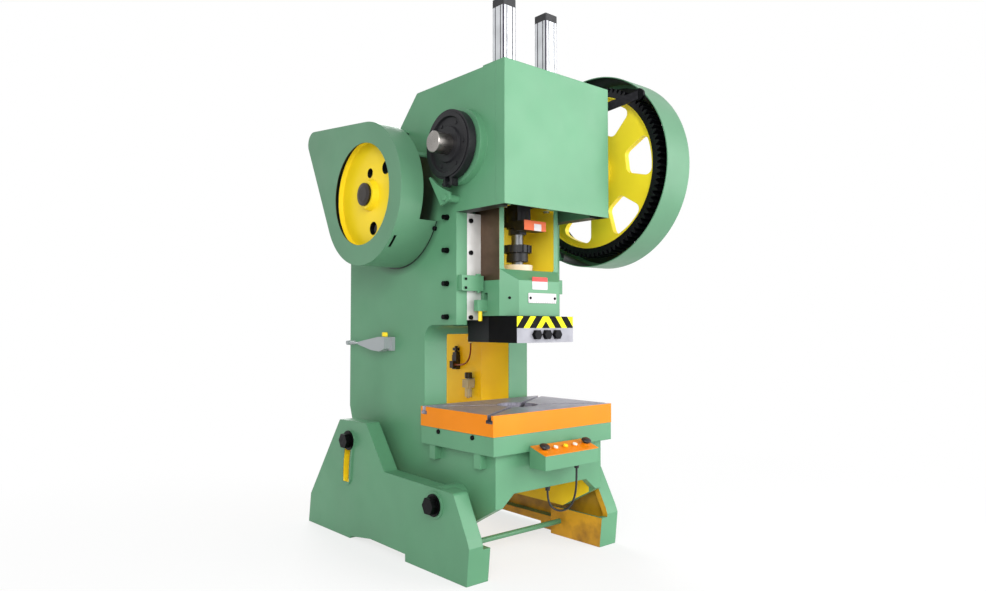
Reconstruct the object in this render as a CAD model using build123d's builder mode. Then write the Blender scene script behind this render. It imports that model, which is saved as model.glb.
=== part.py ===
from build123d import *
import os
from math import acos, atan2, cos, degrees, pi, radians, sin, sqrt, tan

# Open-back inclinable mechanical press. Millimetres, floor at Z = 0, front faces -Y.
# X = 0 is the middle of the press, Y = 0 is the line of the crank and the slide.
# Heights go up from the pivot in the legs, and widths go out from the slide.

# Running clearances
running_gap = 0.05
sliding_gap = 0.3
clear_gap = 0.5

# Frame casting
post_wall = 52.7
side_wall = 34.0
head_wall = 60.0
head_front = -190.0
head_height = 523.0
head_roof = 30.0
head_depth = 55.0
rear_depth = 393.0
guide_front = 37.0
guide_space = 12.0
post_height = 435.0
throat_height = 396.0
post_curve = 58.0
column_setback = 92.0
column_depth = 190.0
throat_play = 11.0
throat_roof = 38.0
rear_web = 60.0
bed_rise = 263.0
bed_plate = 40.0
apron_setback = 27.0
apron_height = 263.0
apron_arch = 45.0
apron_shoulder = 56.0
belly_depth = 100.0
belly_round = 25.0
belly_rise = 35.0
bed_hole_radius = 80.0
casting_round = 14.0
belly_step = 108.0
belly_drop = 59.0
belly_back = 285.0
rear_chamfer = 19.0
rear_chamfer_height = 26.0
far_cut = 3000.0

# Table flange under the bolster
table_inset = 2.0
table_setback = 0.5
table_thickness = 69.0
table_rib = 36.0
table_rib_height = 55.0
table_rib_inset = 4.0
table_rib_places = (-120.0, 150.0)

# Pivot of the frame in its legs, and the lock bolts in their curved slots
pivot_y = 15.0
pivot_z = 250.0
tilt_range = 14.0
lock_radius = 632.0
lock_angle = 15.1

# Legs
leg_gap = 50.0
leg_thickness = 65.0
leg_foot_gap = 16.0
leg_toe = ((-168.0, 0.0), (-182.0, 132.0), (-171.0, 160.0))
leg_saddle = ((-107.0, 58.0), (342.0, 69.0))
leg_crest = ((-129.0, 85.0), (87.0, 81.0))
leg_heel = ((349.0, 130.0), (366.0, 0.0))
leg_skin = 24.0
leg_rim = 26.0
leg_recess = ((206.0, 0.0), (206.0, 28.0), (459.0, 31.0), (619.0, 9.0), (619.0, 0.0))
foot_height = 120.0
pocket_floor = 60.0
foot_rim = 11.0
foot_end_wall = 14.0
foot_front_back = 110.0
foot_heel = 75.0
anchor_radius = 11.0
anchor_places = (0.0, 900.0)
anchor_inset = 45.0
flange_height = 26.0
pivot_boss_radius = 66.0
slot_half = 22.0
slot_rim = 16.0
slot_boss = 35.0
slot_play = 2.0
slot_lip = 6.0
leg_bolt_radius = 18.0
leg_bolt_head = 33.0
leg_bolt_head_height = 24.0
leg_washer_radius = 41.0
leg_washer = 6.0
leg_bolt_grip = 30.0
pivot_lip_radius = 50.0

# Stay rod between the legs
rod_y = 58.0
rod_z = 62.0
rod_radius = 11.0
rod_nut = 19.0
rod_nut_height = 18.0
rod_grip = 37.0
rod_boss_radius = 30.0

# Bolster plate
bolster_half = 320.0
bolster_reach = 217.5
bolster_thickness = 76.0
bolster_hole_radius = 65.0
bolster_step_radius = 82.0
bolster_step_depth = 12.0
slot_width = 18.0
slot_neck = 17.0
slot_foot_width = 31.0
slot_foot_height = 13.0
slot_angle = 31.5

# Crank, rod and slide
stroke = 80.0
crank_rise = 243.0
shaft_radius = 40.0
journal_radius = 45.0
pin_radius = 45.0
pin_half = 48.0
cheek_thickness = 34.0
cheek_radius = 60.0
cheek_pin_radius = 54.0
shaft_chamfer = 3.0
collar_lip = 2.0
bush_wall = 9.0
crank_reach = 143.0
boss_radius = 145.0
boss_height = 33.0
ball_depth = 30.0
rod_bore_wall = 28.0
rod_half = 44.0
rod_shank_half = 40.0
rod_lug = 28.0
rod_bolt = 7.0
rod_bolt_nut = 11.0
rod_bolt_nut_height = 9.0
rod_lug_reach = 18.0
rod_bolt_inset = 12.0
rod_shank_inset = 8.0
rod_skirt = 14.0
rod_collar = 4.0
rod_collar_height = 70.0
rod_block_half = 60.0
rod_block_front = -104.0
rod_block_drop = 16.0
rod_block_height = 39.0
screw_show = 202.0
ball_radius = 36.0
screw_radius = 24.0
screw_grip = 110.0
nut_radius = 59.0
nut_height = 30.0
nut_teeth = 16
nut_tooth_gap = 9.0
nut_rise = 104.0
nut_collar_radius = 44.0
nut_collar_rise = 68.0
lock_nut_radius = 38.0
lock_nut_height = 24.0
seat_wall = 11.0
ball_lift = 9.0
ball_cap = 24.0
ball_cap_rim = 14.0

# Slide
slide_half = 162.0
slide_front = -72.0
slide_back = 138.0
slide_start = 35.0
sill_rise = 181.0
slide_height = 458.0
slide_post = 25.0
slide_back_wall = 26.0
window_round = 10.0
pad_inset = 52.0
pad_depth = 55.0
pad_slope = 45.0
vee_inset = 47.0
vee_half = 12.0
gib_start = 19.0
gib_width = 70.0
gib_bolt_inset = 17.0
gib_bolt_radius = 9.0
gib_bolt_shank = 5.4
gib_bolt_head = 7.2
gib_bolt_grip = 28.0
gib_bolt_start = 10.0
gib_bolt_drops = (154.0, 29.0)
gib_side_count = 4
gib_side_start = 12.0
gib_side_end = 16.0
gib_side_nut = 12.0
gib_side_shank = 6.6
gib_nut_height = 10.8
gib_side_head = 24.0
gib_side_head_radius = 9.6
gib_side_inset = 55.0
lug_height = 26.0
slide_foot_height = 103.0
foot_side = 9.0
foot_inset = 5.0
foot_back_inset = 4.0
clamp_nose = 35.0
shank_radius = 20.0
clamp_split = 1.0
clamp_bolt_pitch = 55.0
clamp_nut = 20.0
clamp_nut_height = 16.0
clamp_shank = 10.0
clamp_bolt_rise = 31.0
bar_rise = 18.0
bar_overhang = 50.0
bar_height = 44.0
bar_thickness = 22.0
bar_lift = 28.0
bar_y = 8.0
bar_pin = 8.0
bar_pin_length = 38.0
bar_pin_offset = 28.0
stop_gap = 6.0
stop_inset = 8.0
stop_height = 60.0
stop_thickness = 24.0
stop_screw = 7.0
stop_nut = 11.0
stop_reach = 6.0

# Balance cylinders
cylinder_inset = 45.5
cylinder_y = -50.0
cylinder_half = 33.3
cylinder_bore = 27.0
cylinder_base = 12.0
cylinder_cap = 32.0
cylinder_rise = 323.0
piston_rod = 7.5
piston_play = 3.0
piston_height = 22.0
cylinder_groove = 5.0
cylinder_groove_share = 0.45
cylinder_round = 5.0
cylinder_fit = 0.1
cylinder_cap_round = 4.0
cylinder_cap_chamfer = 2.0
piston_headroom = 12.0
piston_nut_radius = 13.0
piston_nut_height = 8.0

# Gear train
gear_module = 8.0
gear_teeth = 92
pinion_teeth = 22
backlash = 0.6
gear_offset = 167.0
gear_face = 78.0
gear_rim = 24.0
gear_web = 26.0
gear_hub_radius = 92.0
gear_bush_wall = 10.0
gear_windows = 6
window_inner = 182.0
window_outer = 312.0
window_half_angle = 17.5
window_narrow_angle = 14.35
window_corner = 28.0
window_turn = 52.0
gear_hub_play = 10.0
drive_drop = 143.0
drive_radius = 32.0
pinion_extra = 4.0
housing_radius = 78.0
housing_height = 30.0
collar_radius = 82.0
collar_width = 46.0
collar_gap = 14.0
key_half = 15.0
key_depth = 6.5
end_plate_radius = 62.0
end_plate = 12.0
end_bolt_ring = 28.0
end_bolt = 11.0
end_bolt_height = 8.0

# Flywheel, belts and motor
flywheel_radius = 262.0
flywheel_rim = 34.0
flywheel_width = 68.0
flywheel_offset = 163.0
flywheel_web = 22.0
flywheel_hub = 58.0
flywheel_nut = 47.0
belt_width = 15.0
belt_depth = 10.0
belt_pitch = 19.0
belt_count = 3
belt_gap = 0.4
motor_inset = 10.0
motor_rise = 356.0
pulley_radius = 52.0
motor_radius = 104.0
motor_offset = 53.0
motor_length = 300.0
motor_foot = 112.0
motor_shaft = 14.0
motor_fins = 28
fin_height = 12.0
motor_plate_width = 300.0
motor_plate_reach = 250.0
motor_plate_thickness = 16.0
motor_rib = 26.0

# Guards
guard_offset = 185.0
guard_play = 31.0
guard_end_radius = 50.0
guard_end_back = 33.0
guard_end_rise = 31.0
guard_sheet = 4.0
guard_opening = 209.0
guard_back = 103.0
guard_low = 122.0
guard_lip = 24.0
guard_post = 9.0
guard_post_inset = 14.0
guard_post_turns = (104.0, 150.0)
guard_slot_turn = -134.0
guard_slot_inset = 14.0
guard_slot_width = 13.0
guard_slot_length = 62.0
hoop_play = 45.0
hoop_end_play = 32.0
hoop_inset = 14.0
hoop_width = 152.0
hoop_lip = 26.0
hoop_post = 11.0
hoop_foot = 20.0
hoop_post_turn = -62.0
hoop_end_post_turn = -55.0
strap_width = 36.0
strap_thickness = 8.0
strap_boss = 26.0
strap_boss_height = 12.0
strap_foot_place = (-70.0, 205.0)
cover_depth = 49.0
cover_sheet = 5.0
cover_return = 45.0
cover_top_return = 119.0

# Brake
drum_offset = 77.0
drum_hub = 66.0
drum_dish = 9.0
drum_rim = 16.0
drum_slope = 4.0
drum_bolt_ring = 88.0
drum_bolt = 7.0
drum_bolt_show = 3.0
drum_width = 38.0
drum_radius = 122.0
band_lining = 6.0
band_steel = 3.0
band_inset = 3.0
ear_gap = 28.0
ear_thickness = 12.0
ear_drop = 26.0
ear_inset = 4.0
tension_bolt = 7.0
tension_nut = 13.0
tension_reach = 44.0
tension_back = -30.0
brake_plate = 10.0
brake_plate_gap = 16.0
brake_plate_corners = ((150.0, -86.0), (62.0, -222.0), (2.0, -206.0), (8.0, -176.0), (78.0, -142.0))
brake_pin = 14.0
brake_pin_place = (30.0, -196.0)
brake_pin_nut = 13.0

# Control box
box_half = 143.0
box_depth = 83.0
box_height = 78.0
panel_run = 78.0
box_drop = 50.0
box_sheet = 3.0
panel_sheet = 3.0
panel_angle = 18.43
panel_ring = 4.0
box_mount = 100.0
palm_radius = 20.0
palm_stem = 9.0
palm_travel = 6.0
palm_x = 113.0
button_radius = 9.0
button_travel = 4.0
button_places = (-52.0, 0.0, 52.0)
cable_radius = 4.0
gland_length = 18.0
gland_radius = 11.0

# Air fittings
hand_valve_back = 55.0
hand_valve_drop = 51.0
hand_valve_x = 31.0
knob_stem = 5.0
regulator_back = 153.0
regulator_rise = 45.0
solenoid_back = 268.0
solenoid_rise = 177.0
elbow_back = 136.0
elbow_drop = 64.0
fitting_depth = 28.0
elbow_reach = 40.0
elbow_body_radius = 12.0
elbow_port_radius = 10.0
elbow_port_length = 24.0

# Hand valve: sizes of its foot, and outline of its body in y and z from the middle of the knob
hand_foot_depth = 15.0
hand_foot_front = 32.0
hand_foot_back = 28.0
hand_foot_height = 58.0
hand_body_half = 17.0
hand_body_gap = 12.0
hand_body_round = 5.0
hand_body_outline = ((-20, -50), (-20, 0), (26, 0), (110, -12), (190, -24), (190, -36), (80, -58), (20, -62))
hand_pipe_reach = 300.0
hand_pipe_length = 115.0
hand_pipe_drop = 30.0
hand_pipe_radius = 5.0
hand_union_radius = 10.0
hand_union_reach = 9.0
knob_bore_depth = 16.0
knob_end_gap = 1.0
knob_lift = 2.0
knob_height = 18.0
knob_radius = 11.0
knob_grip_length = 34.0
knob_grip_width = 14.0
knob_round = 4.0

# Air regulator: rise, radius and height of its drain, bowl, neck and knob
regulator_stack = ((0, 9, 8), (6, 17, 46), (86, 13, 10), (94, 18, 28))
regulator_foot_depth = 12.0
regulator_foot_half = 14.0
regulator_foot_bottom = 55.0
regulator_foot_top = 95.0
regulator_body_near = 8.0
regulator_body_far = 48.0
regulator_body_half = 22.0
regulator_body_bottom = 50.0
regulator_body_top = 88.0

# Solenoid valve: body, port block and the two rings of its coil
solenoid_depth = 26.0
solenoid_half = 16.0
solenoid_height = 70.0
solenoid_port_near = 20.0
solenoid_port_far = 44.0
solenoid_port_half = 13.0
solenoid_port_bottom = 6.0
solenoid_port_top = 40.0
solenoid_ring_rises = (70, 92)
solenoid_ring_height = 14.0
solenoid_ring_half = 14.0
solenoid_ring_near = 2.0
solenoid_ring_far = 24.0
solenoid_stem_radius = 8.0
solenoid_stem_height = 44.0
solenoid_round = 2.0
tube_radius = 4.0

# Derived widths
channel_half = slide_half + sliding_gap + gib_width
frame_half = channel_half + post_wall
throat_half = slide_half + throat_play
apron_arch_half = frame_half - side_wall - apron_shoulder
table_half = bolster_half - table_inset
leg_inner = frame_half + leg_gap
leg_outer = leg_inner + leg_thickness
leg_foot_inner = frame_half + leg_foot_gap
rod_end = leg_inner + rod_grip
left_end = frame_half + crank_reach
pad_half = slide_half - pad_inset
foot_half = slide_half - foot_side
bar_half = slide_half + bar_overhang
bar_pin_x = slide_half + bar_pin_offset
stop_inner = slide_half + stop_gap
stop_outer = frame_half - stop_inset
cylinder_x = slide_half - cylinder_inset
gear_left = frame_half + gear_offset
flywheel_left = -frame_half - flywheel_offset
motor_left = -frame_half - motor_offset
drum_left = -frame_half - drum_offset
guard_face = frame_half + guard_offset
hoop_left = gear_left - hoop_inset

# Derived heights
throw = stroke / 2
bed_top = pivot_z + bed_rise
bolster_top = bed_top + bolster_thickness
apron_bottom = bed_top - apron_height
belly = pivot_z - belly_depth
post_bottom = bed_top + throat_height
head_bottom = post_bottom + post_height
head_top = head_bottom + head_height
rear_shoulder = head_bottom
cover_top = head_top + cover_sheet
crank_z = head_bottom + crank_rise
drive_z = crank_z - drive_drop
slide_bottom = post_bottom + slide_start
slide_sill = slide_bottom + sill_rise
slide_top = slide_bottom + slide_height
ball_z = slide_sill - ball_depth
gib_bottom = post_bottom + gib_start
gib_length = head_bottom - gib_bottom
foot_bottom = slide_bottom - slide_foot_height
clamp_bolt_z = foot_bottom + clamp_bolt_rise
bar_bottom = slide_bottom + bar_rise
cylinder_top = head_top + cylinder_rise
motor_z = rear_shoulder + motor_rise
guard_end_z = motor_z + guard_end_rise
guard_low_z = drive_z - guard_low
box_back_top = bed_top - box_drop
box_bottom = box_back_top - box_height
box_lip = box_back_top - panel_run * tan(radians(panel_angle))
hand_valve_z = post_bottom - hand_valve_drop
regulator_z = bed_top + regulator_rise
solenoid_z = bed_top + solenoid_rise
elbow_z = post_bottom - elbow_drop

# Derived depths
centre_distance = gear_module * (gear_teeth + pinion_teeth) / 2
drive_y = sqrt(centre_distance ** 2 - drive_drop ** 2)
table_reach = bolster_reach - table_setback
apron_front = apron_setback - table_reach
guide_back = slide_back + guide_space
head_back = guide_back + head_depth
column_front = guide_back + column_setback
column_back = column_front + column_depth
rear_face = column_back + rear_depth
pad_front = slide_front - pad_depth
clamp_front = pad_front - clamp_nose
foot_reach = slide_back - foot_back_inset
vee_centre = guide_front + vee_inset
gib_side_y = guide_front + gib_side_inset
cover_front = head_front - cover_depth
box_front = -table_reach - box_depth
motor_y = rear_face - motor_inset
guard_end_y = motor_y + guard_end_back
hand_valve_y = column_back + hand_valve_back
regulator_y = column_back + regulator_back
solenoid_y = column_back + solenoid_back
elbow_y = column_back + elbow_back
lock_y = pivot_y + lock_radius * cos(radians(lock_angle))
lock_z = pivot_z + lock_radius * sin(radians(lock_angle))
foot_rear_front = lock_y + foot_heel

# Derived sizes and rows
guard_radius = flywheel_radius + guard_play
hoop_radius = gear_module * (gear_teeth / 2 + 1) + hoop_play
hoop_end_radius = gear_module * (pinion_teeth / 2 + 1) + hoop_end_play
gib_bolt_places = [gib_bolt_start] + [gib_length - drop for drop in gib_bolt_drops]
gib_side_pitch = (gib_length - gib_side_start - gib_side_end) / (gib_side_count - 1)
gib_side_places = [gib_side_start + gib_side_pitch * number for number in range(gib_side_count)]
leg_outline = [
    *leg_toe,
    *((pivot_y + y, pivot_z + z) for y, z in leg_saddle),
    *((lock_y + y, lock_z + z) for y, z in leg_crest),
    *((lock_y + y, z) for y, z in leg_heel),
]

os.makedirs("parts", exist_ok=True)


def save(piece, name):
    """Label a finished piece and write its file."""
    piece.part.label = name
    export_step(piece.part, "parts/" + name + ".step")


def shaft_plane(y, z):
    """Plane through a shaft line along X: its own x is X and its own y is the radius."""
    return Plane(origin=(0, y, z), x_dir=(1, 0, 0), z_dir=(0, -1, 0))


def turned(points, y, z):
    """Body turned about the shaft line at y, z from points (x, radius)."""
    with BuildPart() as body:
        with BuildSketch(shaft_plane(y, z)):
            with BuildLine():
                Polyline(*points, close=True)
            make_face()
        revolve(axis=Axis((0, y, z), (1, 0, 0)))
    return body.part


def rod_along_x(x0, x1, y, z, radius):
    """Plain round bar along X."""
    with BuildPart() as bar:
        with BuildSketch(Plane.YZ.offset(x0)):
            with Locations((y, z)):
                Circle(radius)
        extrude(amount=x1 - x0)
    return bar.part


def block(x0, x1, y0, y1, z0, z1):
    """Plain block between two corners."""
    with BuildPart() as body:
        with BuildSketch(Plane.XY.offset(z0)):
            with Locations(((x0 + x1) / 2, (y0 + y1) / 2)):
                Rectangle(x1 - x0, y1 - y0)
        extrude(amount=z1 - z0)
    return body.part


def side_profile(points, x0, x1, radius=0.0):
    """Outline in the (Y, Z) plane pulled from x0 to x1, its corners rounded."""
    with BuildPart() as body:
        with BuildSketch(Plane.YZ.offset(x0)) as face:
            with BuildLine():
                Polyline(*points, close=True)
            make_face()
            if radius > 0:
                fillet(face.vertices(), radius)
        extrude(amount=x1 - x0)
    return body.part


def band_outline(first, first_radius, second, second_radius, grow=0.0):
    """Sketch of the line that a taut band takes round two circles."""
    with BuildSketch() as loop:
        with Locations(first):
            Circle(first_radius + grow)
        with Locations(second):
            Circle(second_radius + grow)
        make_hull()
    return loop.sketch


def gear_outline(teeth, turn):
    """Sketch of a spur gear about its own centre, one tooth at the angle turn in degrees."""
    pressure = radians(20)
    pitch = gear_module * teeth / 2
    base = pitch * cos(pressure)
    tip = pitch + gear_module
    root = pitch - 1.25 * gear_module
    half_tooth = pi / (2 * teeth) - backlash / (4 * pitch)

    def involute(radius):
        angle = acos(min(1.0, base / max(radius, base)))
        return tan(angle) - angle

    def flank(radius):
        return half_tooth + involute(pitch) - involute(radius)

    radii = [root, pitch, tip] if teeth < gear_teeth else [root, tip]
    points = []
    for tooth in range(teeth):
        middle = radians(turn) + 2 * pi * tooth / teeth
        for radius in radii:
            angle = middle - flank(radius)
            points.append((radius * cos(angle), radius * sin(angle)))
        for radius in reversed(radii):
            angle = middle + flank(radius)
            points.append((radius * cos(angle), radius * sin(angle)))
    with BuildSketch() as gear:
        with BuildLine():
            Polyline(*points, close=True)
        make_face()
    return gear.sketch


def make_leg():
    """Cast side leg on the left: outer skin with a rim, bosses and foot flanges inside."""
    inner_x = -leg_inner
    with BuildPart() as leg:
        with BuildSketch(Plane.YZ.offset(-leg_outer)) as outline:
            with BuildLine():
                Polyline(*leg_outline, close=True)
            make_face()
            fillet(outline.vertices().filter_by(lambda v: v.Y > pivot_z), casting_round)
            with BuildLine():
                Polyline(*leg_recess, close=True)
            make_face(mode=Mode.SUBTRACT)
        extrude(amount=leg_thickness)
        with BuildSketch(Plane.YZ.offset(-leg_outer + leg_skin)) as pocket:
            with BuildLine():
                Polyline(*leg_outline, close=True)
            make_face()
            offset(amount=-leg_rim, kind=Kind.INTERSECTION)
            with Locations((0, pocket_floor - far_cut / 2)):
                Rectangle(far_cut, far_cut, mode=Mode.SUBTRACT)
        extrude(amount=leg_thickness, mode=Mode.SUBTRACT)
        front_toe = max(y for y, z in leg_toe[:2])
        add(leg_foot(foot_front_back - far_cut, foot_front_back,
                     front_toe + foot_rim, foot_front_back + foot_rim))
        add(leg_foot(foot_rear_front, foot_rear_front + far_cut,
                     foot_rear_front - foot_rim, lock_y + leg_heel[0][0] - foot_end_wall))
        add(rod_along_x(-leg_outer + leg_skin, -frame_half - sliding_gap,
                        pivot_y, pivot_z, pivot_boss_radius))
        with BuildSketch(Plane.YZ.offset(-leg_outer + leg_skin)):
            add(slot_shape(slot_half + slot_boss))
        extrude(amount=leg_outer - leg_skin - frame_half - sliding_gap)
        with BuildSketch(Plane.YZ.offset(-leg_outer - slot_lip)):
            add(slot_shape(slot_half + slot_rim))
            with Locations((pivot_y, pivot_z)):
                Circle(pivot_lip_radius)
        extrude(amount=slot_lip + leg_skin)
        add(rod_along_x(-leg_outer + leg_skin, inner_x, rod_y, rod_z, rod_boss_radius))
        with BuildSketch(Plane.YZ.offset(-leg_outer - slot_lip)):
            add(slot_shape(slot_half))
        extrude(amount=leg_outer, mode=Mode.SUBTRACT)
        add(rod_along_x(-leg_outer - slot_lip - 1, -frame_half, pivot_y, pivot_z,
                        leg_bolt_radius + running_gap), mode=Mode.SUBTRACT)
        add(rod_along_x(-rod_end, -leg_foot_inner, rod_y, rod_z, rod_radius),
            mode=Mode.SUBTRACT)
        with Locations(*((-leg_foot_inner - anchor_inset, y, 0) for y in anchor_places)):
            Cylinder(anchor_radius, 3 * flange_height, mode=Mode.SUBTRACT)
    return leg.part


def leg_foot(front, back, hollow_front, hollow_back):
    """Foot of a leg: the outline between two planes, widened inward, hollow over its flange."""
    with BuildPart() as foot:
        with BuildSketch(Plane.YZ.offset(-leg_outer)):
            with BuildLine():
                Polyline(*leg_outline, close=True)
            make_face()
            with Locations(((front + back) / 2, foot_height / 2)):
                Rectangle(back - front, foot_height, mode=Mode.INTERSECT)
        extrude(amount=leg_outer - leg_foot_inner)
        with BuildSketch(Plane.XY.offset(flange_height)):
            with Locations((-leg_foot_inner - anchor_inset, (hollow_front + hollow_back) / 2)):
                Rectangle(2 * (anchor_inset - foot_rim), hollow_back - hollow_front)
        extrude(amount=foot_height, mode=Mode.SUBTRACT)
    return foot.part


def slot_shape(half_width):
    """Curved slot for the lock bolt, about the pivot, as long as the tilt."""
    reach = degrees(slot_play / lock_radius)
    with BuildSketch() as slot:
        with BuildLine() as centre:
            CenterArc((pivot_y, pivot_z), lock_radius,
                      lock_angle - tilt_range - reach, tilt_range + 2 * reach)
        SlotArc(centre.wires()[0], 2 * half_width)
    return slot.sketch


leg_part = make_leg()

with BuildPart() as leg_left:
    add(leg_part)
save(leg_left, "leg_left")

with BuildPart() as leg_right:
    mirror(leg_part, about=Plane.YZ)
save(leg_right, "leg_right")

with BuildPart() as tie_rod:
    add(rod_along_x(-rod_end, rod_end, rod_y, rod_z, rod_radius))
    for x in (-leg_inner, leg_inner - rod_nut_height):
        with BuildSketch(Plane.YZ.offset(x)):
            with Locations((rod_y, rod_z)):
                RegularPolygon(rod_nut, 6)
        extrude(amount=rod_nut_height)
save(tie_rod, "tie_rod")

# Frame casting, tilting in the legs
slope_foot = rear_face - (head_top - rear_shoulder)
frame_outline = (
    (head_front, head_bottom), (guide_front, head_bottom), (guide_front, post_bottom),
    (column_front, post_bottom), (column_front, bed_top), (apron_front, bed_top),
    (apron_front, apron_bottom), (apron_front + belly_step, apron_bottom - belly_drop),
    (pivot_y - belly_round, belly), (pivot_y + belly_back, belly),
    (lock_y + belly_round, belly + belly_rise), (rear_face - rear_chamfer, bed_top - rear_chamfer_height),
    (rear_face, bed_top + rear_chamfer_height), (rear_face, rear_shoulder),
    (slope_foot, head_top), (head_front, head_top),
)


def housing_bosses():
    """Bosses on both walls for the crank and for the drive shaft."""
    with BuildPart() as bosses:
        for side in (-1, 1):
            near = side * (frame_half - 1)
            for y, z, radius, height in (
                (0, crank_z, boss_radius, boss_height),
                (drive_y, drive_z, housing_radius, housing_height),
            ):
                far = side * (frame_half + height)
                add(rod_along_x(min(near, far), max(near, far), y, z, radius))
    return bosses.part


def gib_front_bolt(side, rise):
    """Screw through a gib into the frame behind it."""
    with BuildPart() as bolt:
        with BuildSketch(Plane.XZ.offset(-guide_front)):
            with Locations((side * (channel_half - gib_bolt_inset), gib_bottom + rise)):
                Circle(gib_bolt_shank)
        extrude(amount=-(guide_back - guide_front + gib_bolt_grip))
        with BuildSketch(Plane.XZ.offset(-guide_front)):
            with Locations((side * (channel_half - gib_bolt_inset), gib_bottom + rise)):
                Circle(gib_bolt_radius)
        extrude(amount=gib_bolt_head)
    return bolt.part


def gib_side_bolt(side, rise):
    """Pressing screw through the post against a gib, with its lock nut and head outside."""
    with BuildPart() as bolt:
        for start, end, radius in (
            (channel_half, frame_half + gib_nut_height, gib_side_shank),
            (frame_half + gib_nut_height, frame_half + gib_side_head, gib_side_head_radius),
        ):
            add(rod_along_x(min(side * start, side * end), max(side * start, side * end),
                            gib_side_y, gib_bottom + rise, radius))
        nut = min(side * frame_half, side * (frame_half + gib_nut_height))
        with BuildSketch(Plane.YZ.offset(nut)):
            with Locations((gib_side_y, gib_bottom + rise)):
                RegularPolygon(gib_side_nut, 6)
        extrude(amount=gib_nut_height)
    return bolt.part


def make_frame():
    """Casting: head, guide posts, columns, open back, bed and apron in one piece."""
    inner = frame_half - side_wall
    bearing = frame_half - head_wall
    slope_inset = side_wall * sqrt(2)
    with BuildPart() as frame:
        with BuildSketch(Plane.YZ.offset(-frame_half)) as face:
            with BuildLine():
                Polyline(*frame_outline, close=True)
            make_face()
            corner = face.vertices().sort_by_distance((column_front, post_bottom, 0))[0]
            fillet(corner, post_curve)
            soft = [v for v in face.vertices() if v.X > column_front + 1 or v.Y < apron_bottom]
            soft += face.vertices().sort_by_distance((column_front, bed_top, 0))[:1]
            fillet(soft, casting_round)
        extrude(amount=2 * frame_half)
        add(block(-table_half, table_half, -table_reach, table_reach,
                  bed_top - table_thickness, bed_top))
        for y in table_rib_places:
            low = bed_top - table_thickness - table_rib_height
            add(block(-table_half + table_rib_inset, table_half - table_rib_inset,
                      y - table_rib / 2, y + table_rib / 2,
                      low, bed_top - table_thickness))
        add(housing_bosses())
        head_room = side_profile(
            ((head_front - 1, head_bottom - 1), (head_back, head_bottom - 1),
             (head_back, head_top - head_roof), (head_front - 1, head_top - head_roof)),
            -bearing, bearing)
        add(head_room, mode=Mode.SUBTRACT)
        add(block(-channel_half, channel_half, guide_front - 1, guide_back,
                  post_bottom - 1, head_bottom), mode=Mode.SUBTRACT)
        add(block(-throat_half, throat_half, guide_front - 1, head_back,
                  post_bottom - post_curve - 1, head_bottom), mode=Mode.SUBTRACT)
        room_front = head_back + rear_web
        room_slope = rear_face + rear_shoulder - slope_inset
        room_top = head_top - slope_inset
        rear_room = side_profile(
            ((room_front, post_bottom), (rear_face + 1, post_bottom),
             (rear_face + 1, room_slope - rear_face - 1), (room_slope - room_top, room_top),
             (room_front, room_top)), -inner, inner)
        add(rear_room, mode=Mode.SUBTRACT)
        add(block(-throat_half, throat_half, guide_front - 1, column_back + 1, bed_top,
                  post_bottom - throat_roof), mode=Mode.SUBTRACT)
        add(block(-inner, inner, column_back, rear_face + 1, bed_top,
                  post_bottom - throat_roof), mode=Mode.SUBTRACT)
        under = side_profile(
            ((apron_front + side_wall, 0), (rear_face + 1, 0),
             (rear_face + 1, bed_top - bed_plate), (apron_front + side_wall, bed_top - bed_plate)),
            -inner, inner)
        add(under, mode=Mode.SUBTRACT)
        with BuildSketch(Plane.XZ.offset(-apron_front + 1)):
            with BuildLine():
                Polyline((-inner, belly - 1), (-inner, apron_bottom),
                         (-apron_arch_half, apron_bottom + apron_arch),
                         (apron_arch_half, apron_bottom + apron_arch),
                         (inner, apron_bottom), (inner, belly - 1), close=True)
            make_face()
        extrude(amount=-side_wall - 2, mode=Mode.SUBTRACT)
        with Locations((0, 0, bed_top)):
            Cylinder(bed_hole_radius, 3 * bed_plate, mode=Mode.SUBTRACT)
        add(rod_along_x(-left_end, left_end, 0, crank_z, journal_radius + bush_wall),
            mode=Mode.SUBTRACT)
        add(rod_along_x(-left_end, left_end, drive_y, drive_z,
                        drive_radius + bush_wall + running_gap), mode=Mode.SUBTRACT)
        for x in (-cylinder_x, cylinder_x):
            with Locations((x, cylinder_y, head_top)):
                Cylinder(piston_rod + piston_play, 4 * head_roof, mode=Mode.SUBTRACT)
        for side in (-1, 1):
            for y, z in ((pivot_y, pivot_z), (lock_y, lock_z)):
                near = side * frame_half
                far = side * (frame_half - leg_bolt_grip)
                add(rod_along_x(min(near, far), max(near, far), y, z, leg_bolt_radius),
                    mode=Mode.SUBTRACT)
            for rise in gib_bolt_places:
                add(gib_front_bolt(side, rise), mode=Mode.SUBTRACT)
            for rise in gib_side_places:
                add(gib_side_bolt(side, rise), mode=Mode.SUBTRACT)
    return frame.part


with BuildPart() as frame_casting:
    add(make_frame())
save(frame_casting, "frame_casting")


def leg_bolt(side, y, z):
    """Hexagon bolt and washer that holds the frame in a leg."""
    lip = side * (leg_outer + slot_lip + sliding_gap)
    washer = lip + side * leg_washer
    head = washer + side * leg_bolt_head_height
    end = side * (frame_half - leg_bolt_grip)
    with BuildPart() as bolt:
        add(rod_along_x(min(washer, end), max(washer, end), y, z, leg_bolt_radius))
        add(rod_along_x(min(lip, washer), max(lip, washer), y, z, leg_washer_radius))
        with BuildSketch(Plane.YZ.offset(min(washer, head))):
            with Locations((y, z)):
                RegularPolygon(leg_bolt_head, 6)
        extrude(amount=leg_bolt_head_height)
    return bolt.part


with BuildPart() as leg_bolts:
    for side in (-1, 1):
        add(leg_bolt(side, pivot_y, pivot_z))
        add(leg_bolt(side, lock_y, lock_z))
save(leg_bolts, "leg_bolts")

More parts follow.
